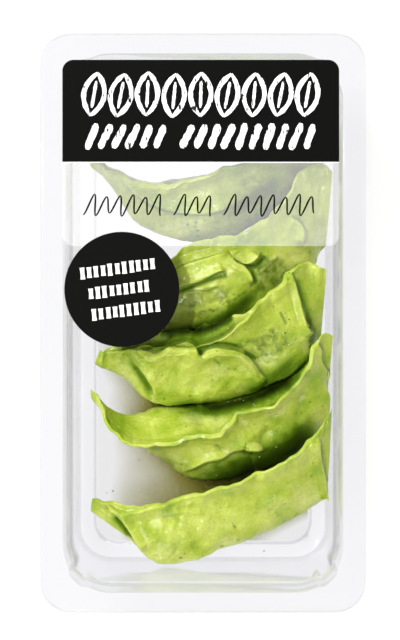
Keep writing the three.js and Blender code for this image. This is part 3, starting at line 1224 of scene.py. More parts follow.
    def _sculpt(self, skin: Skin) -> dict[str, np.ndarray]:
        """Press the folds, tears, lumps and wet patches into the surface.

        Args:
            skin: The smooth surface, which is changed.

        Returns:
            The painted attributes by name.
        """
        normals = skin.normals()
        sight = unit(np.array(EYE) - skin.points)
        facing = smooth_step(-0.1, 0.2, (normals * sight).sum(axis=-1))
        seen = facing * smooth_step(0.12, 0.26, skin.turn)
        place = on_lid(skin.points)
        move = np.zeros(skin.down.shape)
        fold = np.zeros(skin.down.shape)
        gaps = np.zeros(skin.down.shape)
        for line in self.lines:
            lift, dark = self._line_relief(place, line)
            if line.relief is Relief.SHADE:
                gaps = np.maximum(gaps, dark * facing)
            else:
                move += lift * seen
                fold = np.maximum(fold, dark * seen)
        paint = {stain.value: np.zeros(skin.down.shape) for stain in Stain}
        for patch in self.patches:
            share = self._patch_share(place, patch) * seen
            paint[patch.stain.value] = np.maximum(paint[patch.stain.value], share)
        chunks = soft_noise(skin.points / 4.2, self.seed + 90)
        chunks += 0.45 * soft_noise(skin.points / 2.1, self.seed + 95)
        move += paint["wet"] * (0.38 * chunks - 0.35)
        skin.points = skin.points + normals * move[..., None]
        skin.points = self._rested(skin.points + skin.normals() * self._lumps(skin)[..., None])
        # Painted shade: groove darkens the parted lips, fold the folds and tears, and shade the gaps between
        # dumplings.
        groove = (1 - smooth_step(0.02, 0.11, skin.turn)) * skin.open
        uneven = 0.1 + 0.55 * soft_noise(skin.points / 3.4, self.seed + 7)
        rim = np.exp(-(((skin.turn - 0.07) / 0.07) ** 2)) * (1 - groove) * np.clip(uneven, 0.0, 1.0)
        return paint | {
            "rim": rim, "shade": gaps, "belly": smooth_step(0.12, 0.75, skin.swell),
            "fold": np.clip(0.85 * fold + 0.8 * groove, 0.0, 1.0),
        }

    def build(self, material: Material) -> Object:
        """Make the dumpling's mesh and dress it.

        Args:
            material: Its dough.

        Returns:
            The piece.
        """
        skin = self.skin()
        paint = self._sculpt(skin)
        mesh = wrapped(skin.points, paint)
        return finish_piece(mesh, f"{self.node}_dough", material, (self.node,))


@dataclass
class FoldedSheets:
    """The free edges of folded dough, as thin sheets that rise from the dumpling towards their edge."""

    gyoza: Gyoza
    thickness: float = 0.7
    width: float = 5.5
    bury: float = 1.3
    ruffle: float = 0.35
    rim_share: float = 0.08
    section: int = 32
    steps: int = 150

    def _hit(self, place: np.ndarray, under: BVHTree) -> float:
        """Measure how far from the eye the dough is seen at a place.

        Args:
            place: The place on the lid's plane.
            under: The dumpling.

        Returns:
            The distance in millimetres, or not-a-number where there is no dough.
        """
        eye = Vector(EYE)
        spot, _, _, depth = under.ray_cast(eye * MM, (Vector((*place, LID)) - eye).normalized())
        return math.nan if spot is None or spot.z < 4.0 * MM else depth / MM

    def _outline(self, line: Line, under: BVHTree) -> tuple[np.ndarray, np.ndarray, np.ndarray]:
        """Lay the sheet's grid out on the lid's plane, no wider than the dumpling under it.

        Args:
            line: The free edge.
            under: The dumpling.

        Returns:
            The grid's places, how far along the edge each is, and each place's turn round the section.
        """
        along = np.linspace(0.0, 1.0, self.steps + 1)
        edge = through_points(np.array(line.path), along, Spacing.CENTRIPETAL)
        run = unit(np.gradient(edge, axis=0))
        left = np.stack([-run[:, 1], run[:, 0]], axis=-1)
        room = np.full(len(edge), self.width)
        for index in range(len(edge)):
            for reach in np.linspace(0.6, self.width, 10):
                if math.isnan(self._hit(edge[index] + left[index] * reach, under)):
                    room[index] = 0.7 * reach
                    break
        for _ in range(12):
            padded = np.pad(room, 1, mode="edge")
            room = np.minimum(room, (padded[:-2] + padded[1:-1] + padded[2:]) / 3)
        turn = 2 * np.pi * np.arange(self.section) / self.section
        inward = 0.5 * (1 + np.cos(turn))
        ragged = self.ruffle * flat_noise(edge, 3.6, self.gyoza.seed + 50)
        reach = inward[None, :] * room[:, None] + ragged[:, None] * (1 - inward[None, :])
        return edge[:, None, :] + left[:, None, :] * reach[..., None], along, turn

    def _depths(self, places: np.ndarray, under: BVHTree) -> np.ndarray:
        """Measure how far from the eye the dough lies, evened out over the sheet.

        Args:
            places: The grid on the lid's plane.
            under: The dumpling.

        Returns:
            Depths in millimetres.
        """
        depths = np.apply_along_axis(self._hit, 2, places, under)
        depths = np.where(np.isnan(depths), np.nanmedian(depths, axis=1, keepdims=True), depths)
        depths = np.where(np.isnan(depths), np.nanmean(depths), depths)
        for _ in range(4):
            padded = np.pad(depths, ((1, 1), (0, 0)), mode="edge")
            depths = (padded[:-2] + 2 * padded[1:-1] + padded[2:]) / 4
            depths = (np.roll(depths, 1, axis=1) + 2 * depths + np.roll(depths, -1, axis=1)) / 4
        return depths

    def _sheet(self, line: Line, under: BVHTree) -> tuple[np.ndarray, dict[str, np.ndarray]]:
        """Shape one sheet.

        Args:
            line: The free edge.
            under: The dumpling.

        Returns:
            The sheet's points in millimetres, and its painted attributes.
        """
        places, along, turn = self._outline(line, under)
        depths = self._depths(places, under)
        inward = 0.5 * (1 + np.cos(turn))[None, :]
        ends = smooth_step(0.0, line.fades, along) * smooth_step(0.0, line.fades, 1 - along)
        ripple = 0.5 * self.ruffle * flat_noise(places, 3.0, self.gyoza.seed + 55) * (1 - inward)
        rise = 0.35 * line.height * np.exp(-2.5 * inward) - self.bury * inward**1.5 + ripple
        rise = ends[:, None] * rise - self.bury * (1 - ends[:, None])
        body = 0.5 * self.thickness * np.sign(np.sin(turn)) * np.abs(np.sin(turn)) ** 0.4
        eye = np.array(EYE)
        ways = unit(np.concatenate([places, np.full_like(places[..., :1], LID)], axis=-1) - eye)
        points = eye + ways * (depths - rise - body[None, :])[..., None]
        points[0], points[-1] = points[0].mean(axis=0), points[-1].mean(axis=0)
        gyoza = self.gyoza
        paint = {stain.value: np.zeros(places.shape[:2]) for stain in Stain}
        for patch in gyoza.patches:
            if patch.stain is not Stain.WET:
                share = gyoza._patch_share(places, patch)
                paint[patch.stain.value] = np.maximum(paint[patch.stain.value], share)
        uneven = np.clip(0.65 + 0.5 * flat_noise(places, 2.0, gyoza.seed), 0, 1)
        edge = np.exp(-((inward / self.rim_share) ** 2)) * uneven
        return points, paint | {"rim": edge, "belly": 0.6 * inward + 0 * edge, "fold": 0 * edge}

    def build(self, piece: Object, material: Material) -> list[Object]:
        """Make the dumpling's sheets.

        Args:
            piece: The dumpling.
            material: Its dough.

        Returns:
            The pieces.
        """
        under = surfaces([piece])
        made = []
        for line in self.gyoza.lines:
            if line.relief is Relief.FLAP:
                points, paint = self._sheet(line, under)
                mesh = wrapped(points, paint)
                name = f"{self.gyoza.node}_fold_{len(made) + 1}"
                made.append(finish_piece(mesh, name, material))
        return made


def stained(stain: Stain, *rows: tuple[float, ...]) -> tuple[Patch, ...]:
    """Return patches of one stain, from rows of x, y, two radii, turn in degrees and strength."""
    return tuple(Patch(stain, row[:2], row[2:4], *row[4:]) for row in rows)


# The six dumplings of the row, from the open end of the pack to the printed end.
GYOZA_ROW = (
    Gyoza(
        node="gyoza_1",
        ears=(((-41.3, -65.3, 20), (-42.4, -70.4, 16)), ((47.3, -31, 28), (47.5, -66.5, 9))),
        seam=(
            (-38, -66.4, 20), (-31.5, -69.1, 21), (-24, -68.5, 22.6), (-16.6, -67.2, 23.8),
            (-9.2, -65.2, 25), (-1.8, -63.3, 25.8), (5.5, -60.6, 26.6), (12.9, -58.7, 27.3),
            (19.8, -55.8, 27.9), (26.3, -52.9, 28.5), (32.2, -49, 28.7), (37.7, -44.6, 28.9),
            (41.7, -40.6, 28.8), (44.6, -35.9, 28.4),
        ),
        keel=((-28, -79, 11), (-17, -87.5, 4), (7, -81.5, 3), (31, -73.5, 3), (42.5, -69, 5)),
        front=(3, 8.5, 8, 5.5, 3), back=(2, 6, 8.5, 11, 7), gape=(0.7, 0.4, 0.25, 0.15, 0.2),
        lower=(0.6, 0.5, 0.3, 0, 0),
        lines=(
            Line(
                Relief.FLAP, ((-36, -64.8), (-30.6, -68.8), (-27.4, -73.4), (-24.5, -78.1), (-20.9, -83.3)),
                1.9, 5,
            ),
            Line(Relief.FLAP, ((45.4, -64.4), (44.3, -56.5), (42.8, -49.3), (42.1, -41)), 1, 5),
            Line(Relief.RIDGE, ((-16.2, -68.4), (-6.5, -68), (0.7, -68.8)), 0.5, 1),
            Line(Relief.CREASE, ((-14.4, -70.2), (-11.2, -70.6), (-8.3, -72)), 0.5, 0.7),
            Line(Relief.RIDGE, ((-24, -72), (-17, -78), (-11, -84)), 0.5, 2.2),
            Line(Relief.CREASE, ((-31.6, -69.4), (-26.6, -76), (-20.6, -84.6)), 1, 0.9),
            Line(Relief.SHADE, ((-34, -68), (-30.2, -72.2), (-26.8, -77), (-22.6, -83)), 0.6, 1.9, 0.25),
            Line(Relief.CREASE, ((2, -70), (8, -74), (11.5, -79)), 0.4, 1.2),
            Line(Relief.RIDGE, ((14, -64), (22, -66), (33, -61)), 0.4, 1.8),
        ),
        patches=(
            *stained(
                Stain.PALE, (9, -78.5, 6.5, 2.4, 8, 0.7), (36.7, -63, 5, 6.5, 20, 0.5),
                (26, -66, 6, 4, 20, 0.4), (-14, -69.3, 3.6, 1.6, 0, 0.6),
            ),
            *stained(
                Stain.HERB, (10.8, -72.7, 2.2, 0.7, -50, 0.8), (23.4, -67.3, 0.9, 0.9, 0, 0.7),
                (26.3, -69.6, 1.6, 0.6, 30, 0.6), (38.2, -54.7, 1.5, 0.8, -30, 0.7),
            ),
        ),
        wave=1, seed=1,
    ),
    Gyoza(
        node="gyoza_2",
        ears=(((-41.4, -23.9, 27), (-41.3, -27.7, 24)), ((47.8, -5.1, 28), (47.4, -27.4, 10))),
        seam=(
            (-38.5, -29.4, 26.6), (-35.3, -36, 26.2), (-30.9, -41.6, 26), (-25, -44.9, 26),
            (-17.6, -45.6, 26), (-9.9, -43.6, 27.6), (-2.5, -40.9, 29.2), (5.5, -40.5, 30.2),
            (10.2, -37.5, 30.6), (12.4, -33.1, 31), (19.7, -31.3, 31), (26.9, -28.8, 31), (34.2, -23, 30.6),
            (39, -14.5, 30.4), (40.5, -8, 30.2), (43.8, -4, 29.4),
        ),
        keel=((-33, -36, 14), (-21.5, -42.5, 4), (-1, -47.5, 3), (27.5, -41.5, 3), (44, -31, 6)),
        front=(1, 5, 13, 12.5, 7), back=(3, 9.5, 15.5, 19, 12), gape=(0.3, 0.2, 0.1, 0.15, 0.2),
        lower=(0.5, 0, 0, 0, 0),
        lines=(
            Line(
                Relief.FLAP,
                (
                    (-6.8, -54.4), (-2.5, -51.8), (1.1, -50), (6.8, -48.6), (10.8, -46.4), (13.3, -45.4),
                    (18.7, -46.1), (24.1, -45.7),
                ),
                1.8, 7,
            ),
            Line(Relief.SLIT, ((4, -43.6), (5.8, -44.3), (7.9, -45.7)), 0.9, 0.4),
            Line(Relief.LAYER, ((-20.2, -45), (-18.7, -48.6), (-16.6, -52.9)), 0.9, 4),
            Line(Relief.RIDGE, ((11, -45), (14, -42), (19, -40)), 0.8, 1.6),
            Line(Relief.CREASE, ((20, -45.5), (22, -41), (24.5, -37.5)), 0.9, 1.6),
            Line(Relief.LAYER, ((47, -20), (42.8, -14), (42.5, -9.5), (40.8, -6.5)), 1, 4),
            Line(Relief.SHADE, ((-24, -46.5), (-17.5, -54), (-9, -58.4)), 0.55, 3.2, 0.3),
            Line(Relief.CREASE, ((33, -37), (35.5, -31), (37, -25)), 0.8, 2),
            Line(
                Relief.SHADE,
                ((-9, -59), (6, -57.5), (14, -54.5), (22, -51), (30, -46.5), (37, -41.5), (45, -33)), 0.94,
                12, 0.2,
            ),
            Line(
                Relief.SHADE,
                (
                    (-16, -28.8), (-1.1, -31), (9.7, -29.5), (18.7, -27), (25.9, -23.4), (33.1, -18.7),
                    (38.5, -13.3),
                ),
                1, 5.6, 0.25,
            ),
        ),
        patches=(
            *stained(
                Stain.PALE, (0.7, -34.2, 8.5, 3.2, 0, 0.75), (7.9, -36.9, 3.4, 2.2, 0, 0.6),
                (26.6, -31.6, 4, 3, 30, 0.75), (14.4, -35.2, 1.8, 1.5, 0, 0.7),
                (8.3, -46.4, 1.2, 0.9, 0, 0.9), (-6.1, -49.4, 1.4, 0.8, 0, 0.6),
                (36, -27.4, 1.8, 0.9, 50, 0.8),
            ),
            *stained(
                Stain.HERB, (-6.8, -48.6, 0.6, 0.6, 0, 0.8), (18.9, -40.3, 1.3, 0.8, 20, 0.8),
                (23.6, -41, 1.6, 2.6, 20, 0.5), (-1.8, -37.4, 1.3, 0.5, 15, 0.7),
                (5.4, -37.8, 1.3, 0.5, -10, 0.6), (-13, -35.6, 0.9, 0.5, 30, 0.5),
                (27.2, -37.8, 0.9, 0.6, 0, 0.6),
            ),
        ),
        wave=1.2, seed=2,
    ),
    Gyoza(
        node="gyoza_3", ears=(((-38.5, -10.8, 22), (-40.6, -15.3, 19)), ((45.4, 19, 28), (44.9, -5.8, 10))),
        seam=(
            (-36.6, -10.8, 22.5), (-30.6, -8.7, 24), (-23.9, -6.8, 25.5), (-17.2, -5.4, 27),
            (-10.6, -4.6, 28.5), (-4.7, -4.4, 29.2), (0.4, -4, 29.6), (5.5, -2.6, 30), (11.3, 0.7, 30.4),
            (17.5, 5.1, 30.8), (23.7, 9.4, 31), (29.1, 14.2, 31), (31.7, 19.3, 31), (35.4, 21.5, 30.2),
            (40.6, 20.8, 29.1),
        ),
        keel=((-31, -19, 12), (-19.5, -27, 4), (0.9, -24.5, 3), (25.2, -15, 3), (40, -9, 4)),
        front=(2.5, 7, 9.5, 13, 9.5), back=(2.5, 9.5, 11.5, 11, 6), gape=(1.4, 2.4, 2, 0.3, 0.3),
        lower=(1.4, 4.4, 3.6, 0, 0),
        lines=(
            Line(
                Relief.FLAP,
                (
                    (23.8, -21), (21.2, -18.4), (18, -14), (15.1, -11.5), (11.5, -10.1), (7.9, -9.4),
                    (4.3, -9.2), (1.8, -9.9), (-1.1, -11.5), (-2.9, -8.4), (-5.4, -7), (-8.3, -7.4),
                    (-11.5, -8.4), (-13.7, -9.3), (-17.3, -10.9), (-21, -9.9), (-26.6, -9.2),
                ),
                3.4, 7, 0.06,
            ),
            Line(
                Relief.FLAP, ((-26.6, -9.7), (-22.7, -14.4), (-20.2, -18), (-18.4, -22.3), (-16.6, -28.4)),
                2, 5,
            ),
            Line(Relief.CREASE, ((-24.4, -15.5), (-22, -19), (-20, -23), (-18, -28.6)), 1.2, 1.3),
            Line(Relief.RIDGE, ((-19, -16), (-13, -22), (-6, -25), (2, -26.5)), 1, 2.2),
            Line(Relief.SLIT, ((3.6, -12.2), (5, -13.3), (6.5, -14.4)), 0.8, 0.4),
            Line(
                Relief.FLAP, ((40.3, -5.4), (37.4, -0.7), (34.9, 8.3), (33.1, 14.8), (31.7, 18.4)), 1.5, 5
            ),
            Line(Relief.SLIT, ((27.7, 4), (29, 1.8), (30.2, -0.7)), 0.6, 0.4),
            Line(
                Relief.SHADE,
                (
                    (17.5, -11.2), (11.8, -8.6), (5, -7.8), (-0.5, -9.2), (-4, -5.8), (-9, -6.2), (-14, -8),
                    (-18, -9), (-24, -8.4),
                ),
                0.6, 1.8,
            ),
            Line(Relief.SHADE, ((-18, -2.8), (-1.1, -2.5), (4.3, -0.7), (11, 3.4)), 1, 4.4, 0.08),
            Line(
                Relief.SHADE, ((-27.4, -12), (-24.4, -16), (-21.8, -20), (-19.6, -24), (-18, -28)), 0.6,
                2.2, 0.25,
            ),
            Line(Relief.SHADE, ((10, -24.5), (20, -22), (29, -16.5), (38, -7.5)), 0.6, 5, 0.3),
            Line(Relief.SHADE, ((40.5, -6), (38, 2), (35.5, 11), (34, 16)), 0.5, 2.6, 0.08),
            Line(Relief.SHADE, ((-15, -28.6), (-1, -30), (9, -28)), 0.55, 5, 0.3),
            Line(Relief.SHADE, ((19.5, -13.5), (17.6, -12.4), (14.6, -10.6)), 0.8, 1.5, 0.08),
        ),
        patches=(
            *stained(Stain.WET, (23.6, -8.4, 7.4, 5.6, 30, 0.8), (14.5, -8, 3, 1.2, 20, 0.8)),
            *stained(
                Stain.PALE, (-27.5, -17.5, 6.5, 3, -50, 0.6), (24.8, -9.7, 8.4, 7, 30, 0.3),
                (5.5, -16.5, 5, 3.6, -10, 0.45),
            ),
            *stained(Stain.HERB, (26, -4, 3.4, 2, 60, 0.5), (27.7, -14.4, 1.3, 0.8, 20, 0.7)),
        ),
        wave=1.7, seed=3,
    ),
    Gyoza(
        node="gyoza_4", ears=(((-43.9, 1.8, 24), (-43.5, -1.5, 19)), ((47.6, 55.3, 28), (46.8, 29.2, 10))),
        seam=(
            (-37.9, 4, 24.8), (-31.3, 7.2, 25.5), (-24.6, 12.2, 26.2), (-18, 18, 26.6), (-11.3, 23.4, 27),
            (-4.7, 27.2, 27.8), (1.8, 29.4, 28.6), (8.4, 31, 29.6), (14.6, 32.6, 30.4), (20.4, 35.4, 30.8),
            (25.5, 39.6, 31), (29.5, 44.7, 31), (33.1, 51.3, 31), (37.5, 56.1, 30.2), (42.8, 58.1, 29.1),
        ),
        keel=((-30.5, 8, 12), (-18.5, 5, 4), (2.8, 4.5, 3), (25.2, 15, 3), (41, 24, 5)),
        front=(2.5, 12, 13, 12, 6), back=(3, 13, 13.5, 11, 6), gape=(0.4, 0.9, 0.9, 0.3, 0.2),
        lower=(1.8, 6.4, 5.8, 1.6, 0),
        lines=(
            Line(
                Relief.FLAP,
                ((-13, 11.4), (-9, 13), (-4.7, 14), (-1.1, 15.1), (2.5, 16.9), (5.4, 18.4), (9, 19.1)), 2,
                5,
            ),
            Line(Relief.FLAP, ((18.4, 13.7), (17.6, 16.9), (15.5, 20.2), (12.2, 22), (9.7, 24.5)), 1.6, 4),
            Line(
                Relief.FLAP, ((9, 27), (10.8, 23.8), (13.3, 22), (15.8, 21.2), (18.7, 22.7), (21.2, 25.9)),
                2.4, 4,
            ),
            Line(Relief.FLAP, ((35.6, 27.7), (36.4, 32.8), (34.6, 36.4), (31.3, 38.2)), 1.4, 5),
            Line(Relief.RIDGE, ((-8, 10.8), (-3, 12.6), (1.5, 12.4), (6, 14.4)), 0.9, 0.7),
            Line(
                Relief.SHADE, ((-18, -4), (-4, -2.4), (4.3, -0.7), (10.4, 3.9), (17.5, 9), (24.5, 14.5)),
                0.86, 5, 0.3,
            ),
            Line(Relief.SHADE, ((-12, 10), (-4.5, 12.7), (3, 15.6), (9.4, 17.6)), 0.6, 1.6, 0.08),
            Line(Relief.SHADE, ((14.6, 20), (19.4, 20.6), (22.6, 24.6)), 0.75, 1.8, 0.08),
            Line(Relief.SHADE, ((19.4, 13.6), (18.4, 17.6), (16, 21)), 0.6, 1.6, 0.08),
            Line(Relief.RIDGE, ((19, 17), (23, 20), (27, 24)), 0.8, 0.8),
        ),
        patches=(
            *stained(Stain.WET, (0.7, 9.6, 11, 3.4, 14, 0.6), (24.1, 17.4, 7, 6, 40, 0.85)),
            *stained(Stain.PALE, (26, 19.4, 6, 5, 40, 0.5)),
            *stained(
                Stain.HERB, (10, 7.6, 14, 2, 20, 1), (13, 8.4, 9, 2.6, 32, 0.9), (27, 19, 4, 1.6, 50, 0.7),
                (-4, 3.2, 8, 0.9, 10, 0.7),
            ),
        ),
        wave=1.4, seed=4,
    ),
    Gyoza(
        node="gyoza_5", ears=(((-41.9, 63.6, 26), (-42, 58.5, 20)), ((45, 84, 29), (46.5, 62, 10))),
        seam=(
            (-40.4, 61.1, 25.6), (-36.8, 57.8, 25.2), (-30.5, 54.5, 25.1), (-23.9, 51.9, 25.5),
            (-17.3, 50, 25.9), (-11.4, 50.2, 27), (-4.7, 52.6, 28.5), (2.6, 54.3, 30), (9.8, 56.4, 30.4),
            (17.1, 58.2, 30.8), (22.9, 60, 31), (28.4, 62.9, 31), (33.5, 66.9, 31), (37.9, 72.5, 30.5),
            (42, 78.8, 29.8),
        ),
        keel=((-34.5, 54, 13), (-22.5, 42.5, 4), (-1.8, 40.5, 3), (26.7, 50, 3), (42, 56, 5)),
        front=(1.5, 6.5, 12.5, 9.5, 4), back=(3, 9, 12.5, 9, 3), gape=(0.4, 0.3, 0.2, 0.2, 0.2),
        lower=(0.5, 0.5, 0, 0, 0),
        lines=(
            Line(Relief.FLAP, ((-28, 50), (-20, 43.5), (-10, 40), (2, 39.5), (12, 42.5)), 1.4, 6),
            Line(Relief.CREASE, ((14, 55), (16.5, 49), (21, 44.5)), 0.9, 1.4),
            Line(Relief.SHADE, ((6, 37.5), (14, 42), (22, 47.5), (30, 56)), 0.8, 5, 0.3),
            Line(Relief.RIDGE, ((17.5, 55.5), (21.5, 50.5), (26, 47.5)), 0.9, 1.4),
        ),
        patches=(
            *stained(Stain.WET, (18.7, 46.1, 6, 7, 0, 0.5)), *stained(Stain.PALE, (-6, 34, 9, 3, 0, 0.7))
        ),
        wave=1.3, seed=5,
    ),
    Gyoza(
        node="gyoza_6", ears=(((-41.5, 81, 25), (-41.5, 77, 20)), ((41.5, 89, 28), (42, 80, 12))),
        seam=((-35.5, 79.5, 26), (-21, 77, 27), (0.7, 79, 29), (23.7, 84, 30), (36, 88.5, 30)),
        keel=((-32.5, 74.5, 13), (-22, 71, 4), (-1, 71.5, 3), (23.5, 77, 3), (38, 81, 6)),
        front=(2, 7.5, 9.5, 8, 3.5), back=(2, 7, 9, 8, 3), gape=(1.5, 1, 0.5, 0.5, 1),
        lower=(1, 0.5, 0, 0, 0.5), wave=1.2, seed=6,
    ),
)


@dataclass(frozen=True)
class Sprinkle:
    """One kind of small bit: where it is seen, in millimetres on the lid's plane, and how big it is."""

    name: str
    marks: tuple[Mark, ...]
    low: Mark
    high: Mark
    scattered: int
    half_length: Mark
    squash: float
    lowest: float = 0.0
    highest: float = 40.0


@dataclass
class LooseBits:
    """Small bits that cling to the dough and lie on the tray.

    Each bit lies where the line of sight through its mark first meets dough or tray.
    """

    under: BVHTree
    seed: int = 23

    def _ball(self, shape: BMesh, place: Vector, normal: Vector, size: Point, turn: float) -> None:
        """Add one flattened ball.

        Args:
            shape: The bmesh that gets it, in metres.
            place: Its middle.
            normal: The direction it is flattened along.
            size: Its half sizes in millimetres.
            turn: How far it is turned about the normal.
        """
        facing = normal.to_track_quat("Z", "Y").to_matrix().to_4x4()
        scale = Matrix.Diagonal((*(part * MM for part in size), 1.0))
        placed = Matrix.Translation(place) @ facing @ Matrix.Rotation(turn, 4, "Z") @ scale
        bmesh.ops.create_icosphere(shape, subdivisions=1, radius=1.0, matrix=placed)

    def scatter(self, kind: Sprinkle, material: Material) -> Object:
        """Drop one kind of bit.

        Args:
            kind: What is dropped and where.
            material: Its finish.

        Returns:
            The bits as one piece.
        """
        rng = np.random.default_rng(self.seed)
        eye = Vector(EYE) * MM
        loose = rng.uniform(kind.low, kind.high, (kind.scattered, 2))
        bits = bmesh.new()
        for x, y in [*kind.marks, *loose]:
            way = (Vector((x, y, LID)) * MM - eye).normalized()
            place, normal, _, _ = self.under.ray_cast(eye, way)
            if place is None or not kind.lowest <= place.z / MM <= kind.highest:
                continue
            half = rng.uniform(*kind.half_length)
            size = (half, half * rng.uniform(0.4, 0.8), half * kind.squash)
            self._ball(bits, place, normal, size, rng.uniform(0, math.pi))
        return finish_piece(closed_mesh(bits), kind.name, material)


def all_sprinkles() -> tuple[Sprinkle, Sprinkle, Sprinkle]:
    """Return the leek bits, the pale crumbs and the water drops."""
    leek = Sprinkle(
        name="leek_bits",
        marks=(
            (-34.6, -61.2), (-32.4, -60.5), (22.0, -82.1), (25.0, -62.5), (30.5, -57.5), (18.5, -36.5),
            (27.4, -36.2), (3.9, -13.0), (29.5, 3.4), (11.0, -73.0), (10.6, -72.2), (26.4, -69.6),
        ),
        low=(-30, -78), high=(42, 24), scattered=70, half_length=(0.16, 0.5), squash=0.3,
    )
    crumbs = Sprinkle(
        name="dough_crumbs",
        marks=(
            (36.0, -27.4), (36.5, -26.8), (13.3, -27.4), (14.6, -27.9), (11.5, -27.9), (9.0, -28.4),
            (8.4, -46.3),
        ),
        low=(-30, -70), high=(42, 10), scattered=110, half_length=(0.14, 0.36), squash=0.5, lowest=6.0,
    )
    drops = Sprinkle(
        name="water_drops", marks=(), low=(0, -60), high=(20, -53), scattered=60, half_length=(0.25, 0.6),
        squash=0.7, highest=4.0,
    )
    return leek, crumbs, drops


@dataclass
class FloorShadeSheet:
    """A thin sheet on the tray's floor with painted shade, which takes on green where the dumplings stand
    close.
    """

    low: Mark = (-40.5, -84.0)
    high: Mark = (40.5, 22.0)
    bottom: float = 2.14
    thickness: float = 0.06
    pitch: float = 1.6
    reach: float = 30.0
    rays: int = 36
    evening: int = 5

    def build(self, under: BVHTree, material: Material) -> Object:
        """Lay the sheet and paint how closed in it is, which sets its painted shade.

        Args:
            under: The dumplings.
            material: Its finish.

        Returns:
            The piece.
        """
        size = (self.high[0] - self.low[0], self.high[1] - self.low[1])
        counts = [max(2, round(side / self.pitch)) for side in size]
        centre = [(low + high) / 2 for low, high in zip(self.low, self.high)]
        shape = bmesh.new()
        placed = Matrix.Translation(Vector((*centre, self.bottom)) * MM)
        placed = placed @ Matrix.Diagonal((size[0] / 2 * MM, size[1] / 2 * MM, 1.0, 1.0))
        bmesh.ops.create_grid(shape, x_segments=counts[0], y_segments=counts[1], size=1.0, matrix=placed)
        thicken(shape, list(shape.faces), self.thickness)
        mesh = closed_mesh(shape)
        shut = CreviceShade(self.reach, self.rays).closed([vert.co for vert in mesh.vertices], under)
        ends = np.array([edge.vertices for edge in mesh.edges]).T
        for _ in range(self.evening):
            total, count = shut.copy(), np.ones_like(shut)
            for here, there in (ends, ends[::-1]):
                np.add.at(total, here, shut[there])
                np.add.at(count, here, 1)
            shut = total / count
        paint_points(mesh, "closed_in", shut)
        return finish_piece(mesh, "floor_shade_sheet", material)


# ---- tray ----


@dataclass(frozen=True)
class Level:
    """One height of the tray's inner face: how far it stands in from the opening, and its corners."""

    z: float
    ends: float
    sides: float
    radius: float


@dataclass
class FormedTray:
    """The clear tray: a platform in the floor, drafted walls with a stacking ledge, and a flange."""

    opening: Mark = (100.4, 194.0)
    outer: Mark = (117.4, 208.8)
    outer_radius: float = 11.0
    top: float = 36.0
    wall: float = 0.38
    corner_steps: int = 20
    lug_depth: float = 1.3
    lug_angle: float = 0.3
    lug_rise: Mark = (20.0, 23.0)
    levels: tuple[Level, ...] = (
        Level(2.1, 12.8, 9.4, 8.0), Level(1.95, 12.3, 8.9, 8.3), Level(1.3, 11.7, 8.3, 8.6),
        Level(0.75, 11.2, 7.8, 9.0), Level(0.6, 10.6, 7.2, 9.5), Level(0.6, 7.8, 4.4, 11.0),
        Level(0.85, 7.1, 3.6, 11.6), Level(1.5, 6.5, 2.9, 12.2), Level(2.6, 6.05, 2.4, 12.7),
        Level(4.0, 5.8, 2.15, 13.0), Level(15.0, 4.1, 1.65, 14.2), Level(26.2, 2.45, 1.12, 15.5),
        Level(26.5, 2.2, 1.3, 15.7), Level(27.0, 1.5, 0.72, 16.0), Level(27.9, 1.45, 0.66, 16.1),
        Level(34.6, 0.5, 0.3, 16.8), Level(35.5, 0.2, 0.12, 17.0), Level(35.9, -0.2, -0.2, 17.3),
        Level(36.0, -0.7, -0.7, 17.7),
    )
    rim: tuple[Mark, ...] = ((0.9, 36.0), (0.35, 35.9), (0.06, 35.6), (0.0, 35.2), (0.0, 34.4))

    def _ring(self, half: Mark, radius: float, z: float, lugs: bool) -> list[Vector]:
        """Place one rounded rectangle.

        Args:
            half: Half its width and half its length.
            radius: Its corner radius.
            z: Its height.
            lugs: Whether the stacking lugs swell its corners.

        Returns:
            Its points in metres, counter-clockwise.
        """
        off = np.abs(np.linspace(-0.5, 0.5, self.corner_steps + 1)) * math.pi / 2
        across = 1 - smooth_step(0.5 * self.lug_angle, self.lug_angle, off)
        swells = lugs * self.lug_depth * across * smooth_step(*self.lug_rise, np.array(z))
        outline = rounded_outline(half, (radius,) * 4, self.corner_steps, swells)
        return [Vector((*place, z)) * MM for place in outline]

    def build(self, material: Material) -> Object:
        """Draw the sheet up ring by ring from the floor, then give it its thickness.

        Args:
            material: The clear sheet.

        Returns:
            The piece.
        """
        rings = []
        for level in self.levels:
            half = (self.opening[0] / 2 - level.sides, self.opening[1] / 2 - level.ends)
            rings.append(self._ring(half, level.radius, level.z, lugs=True))
        for inset, z in self.rim:
            half = (self.outer[0] / 2 - inset, self.outer[1] / 2 - inset)
            rings.append(self._ring(half, self.outer_radius - inset, z, lugs=False))
        shape = bmesh.new()
        circle = bmesh.ops.create_circle(shape, cap_ends=True, radius=1.0, segments=len(rings[0]))
        previous = list(circle["verts"])
        for vert, place in zip(previous, rings[0]):
            vert.co = place
        edges = [edge for edge in shape.edges if edge.is_boundary]
        for ring in rings[1:]:
            grown = bmesh.ops.extrude_edge_only(shape, edges=edges)["geom"]
            edges = [part for part in grown if isinstance(part, BMEdge)]
            edges = [edge for edge in edges if edge.is_boundary]
            fresh = {part for part in grown if isinstance(part, BMVert)}
            following = []
            for vert in previous:
                twin = next(e.other_vert(vert) for e in vert.link_edges if e.other_vert(vert) in fresh)
                following.append(twin)
            for vert, place in zip(following, ring):
                vert.co = place
            previous = following
        floor = [face for face in shape.faces if len(face.verts) > 4]
        bmesh.ops.poke(shape, faces=floor)
        bmesh.ops.recalc_face_normals(shape, faces=shape.faces)
        if sum(face.normal.z * face.calc_area() for face in shape.faces) < 0:
            bmesh.ops.reverse_faces(shape, faces=shape.faces)
        bmesh.ops.solidify(shape, geom=list(shape.faces), thickness=self.wall * MM)
        return finish_piece(closed_mesh(shape), "formed_tray", material, ("tray",))


# ---- flat pieces ----


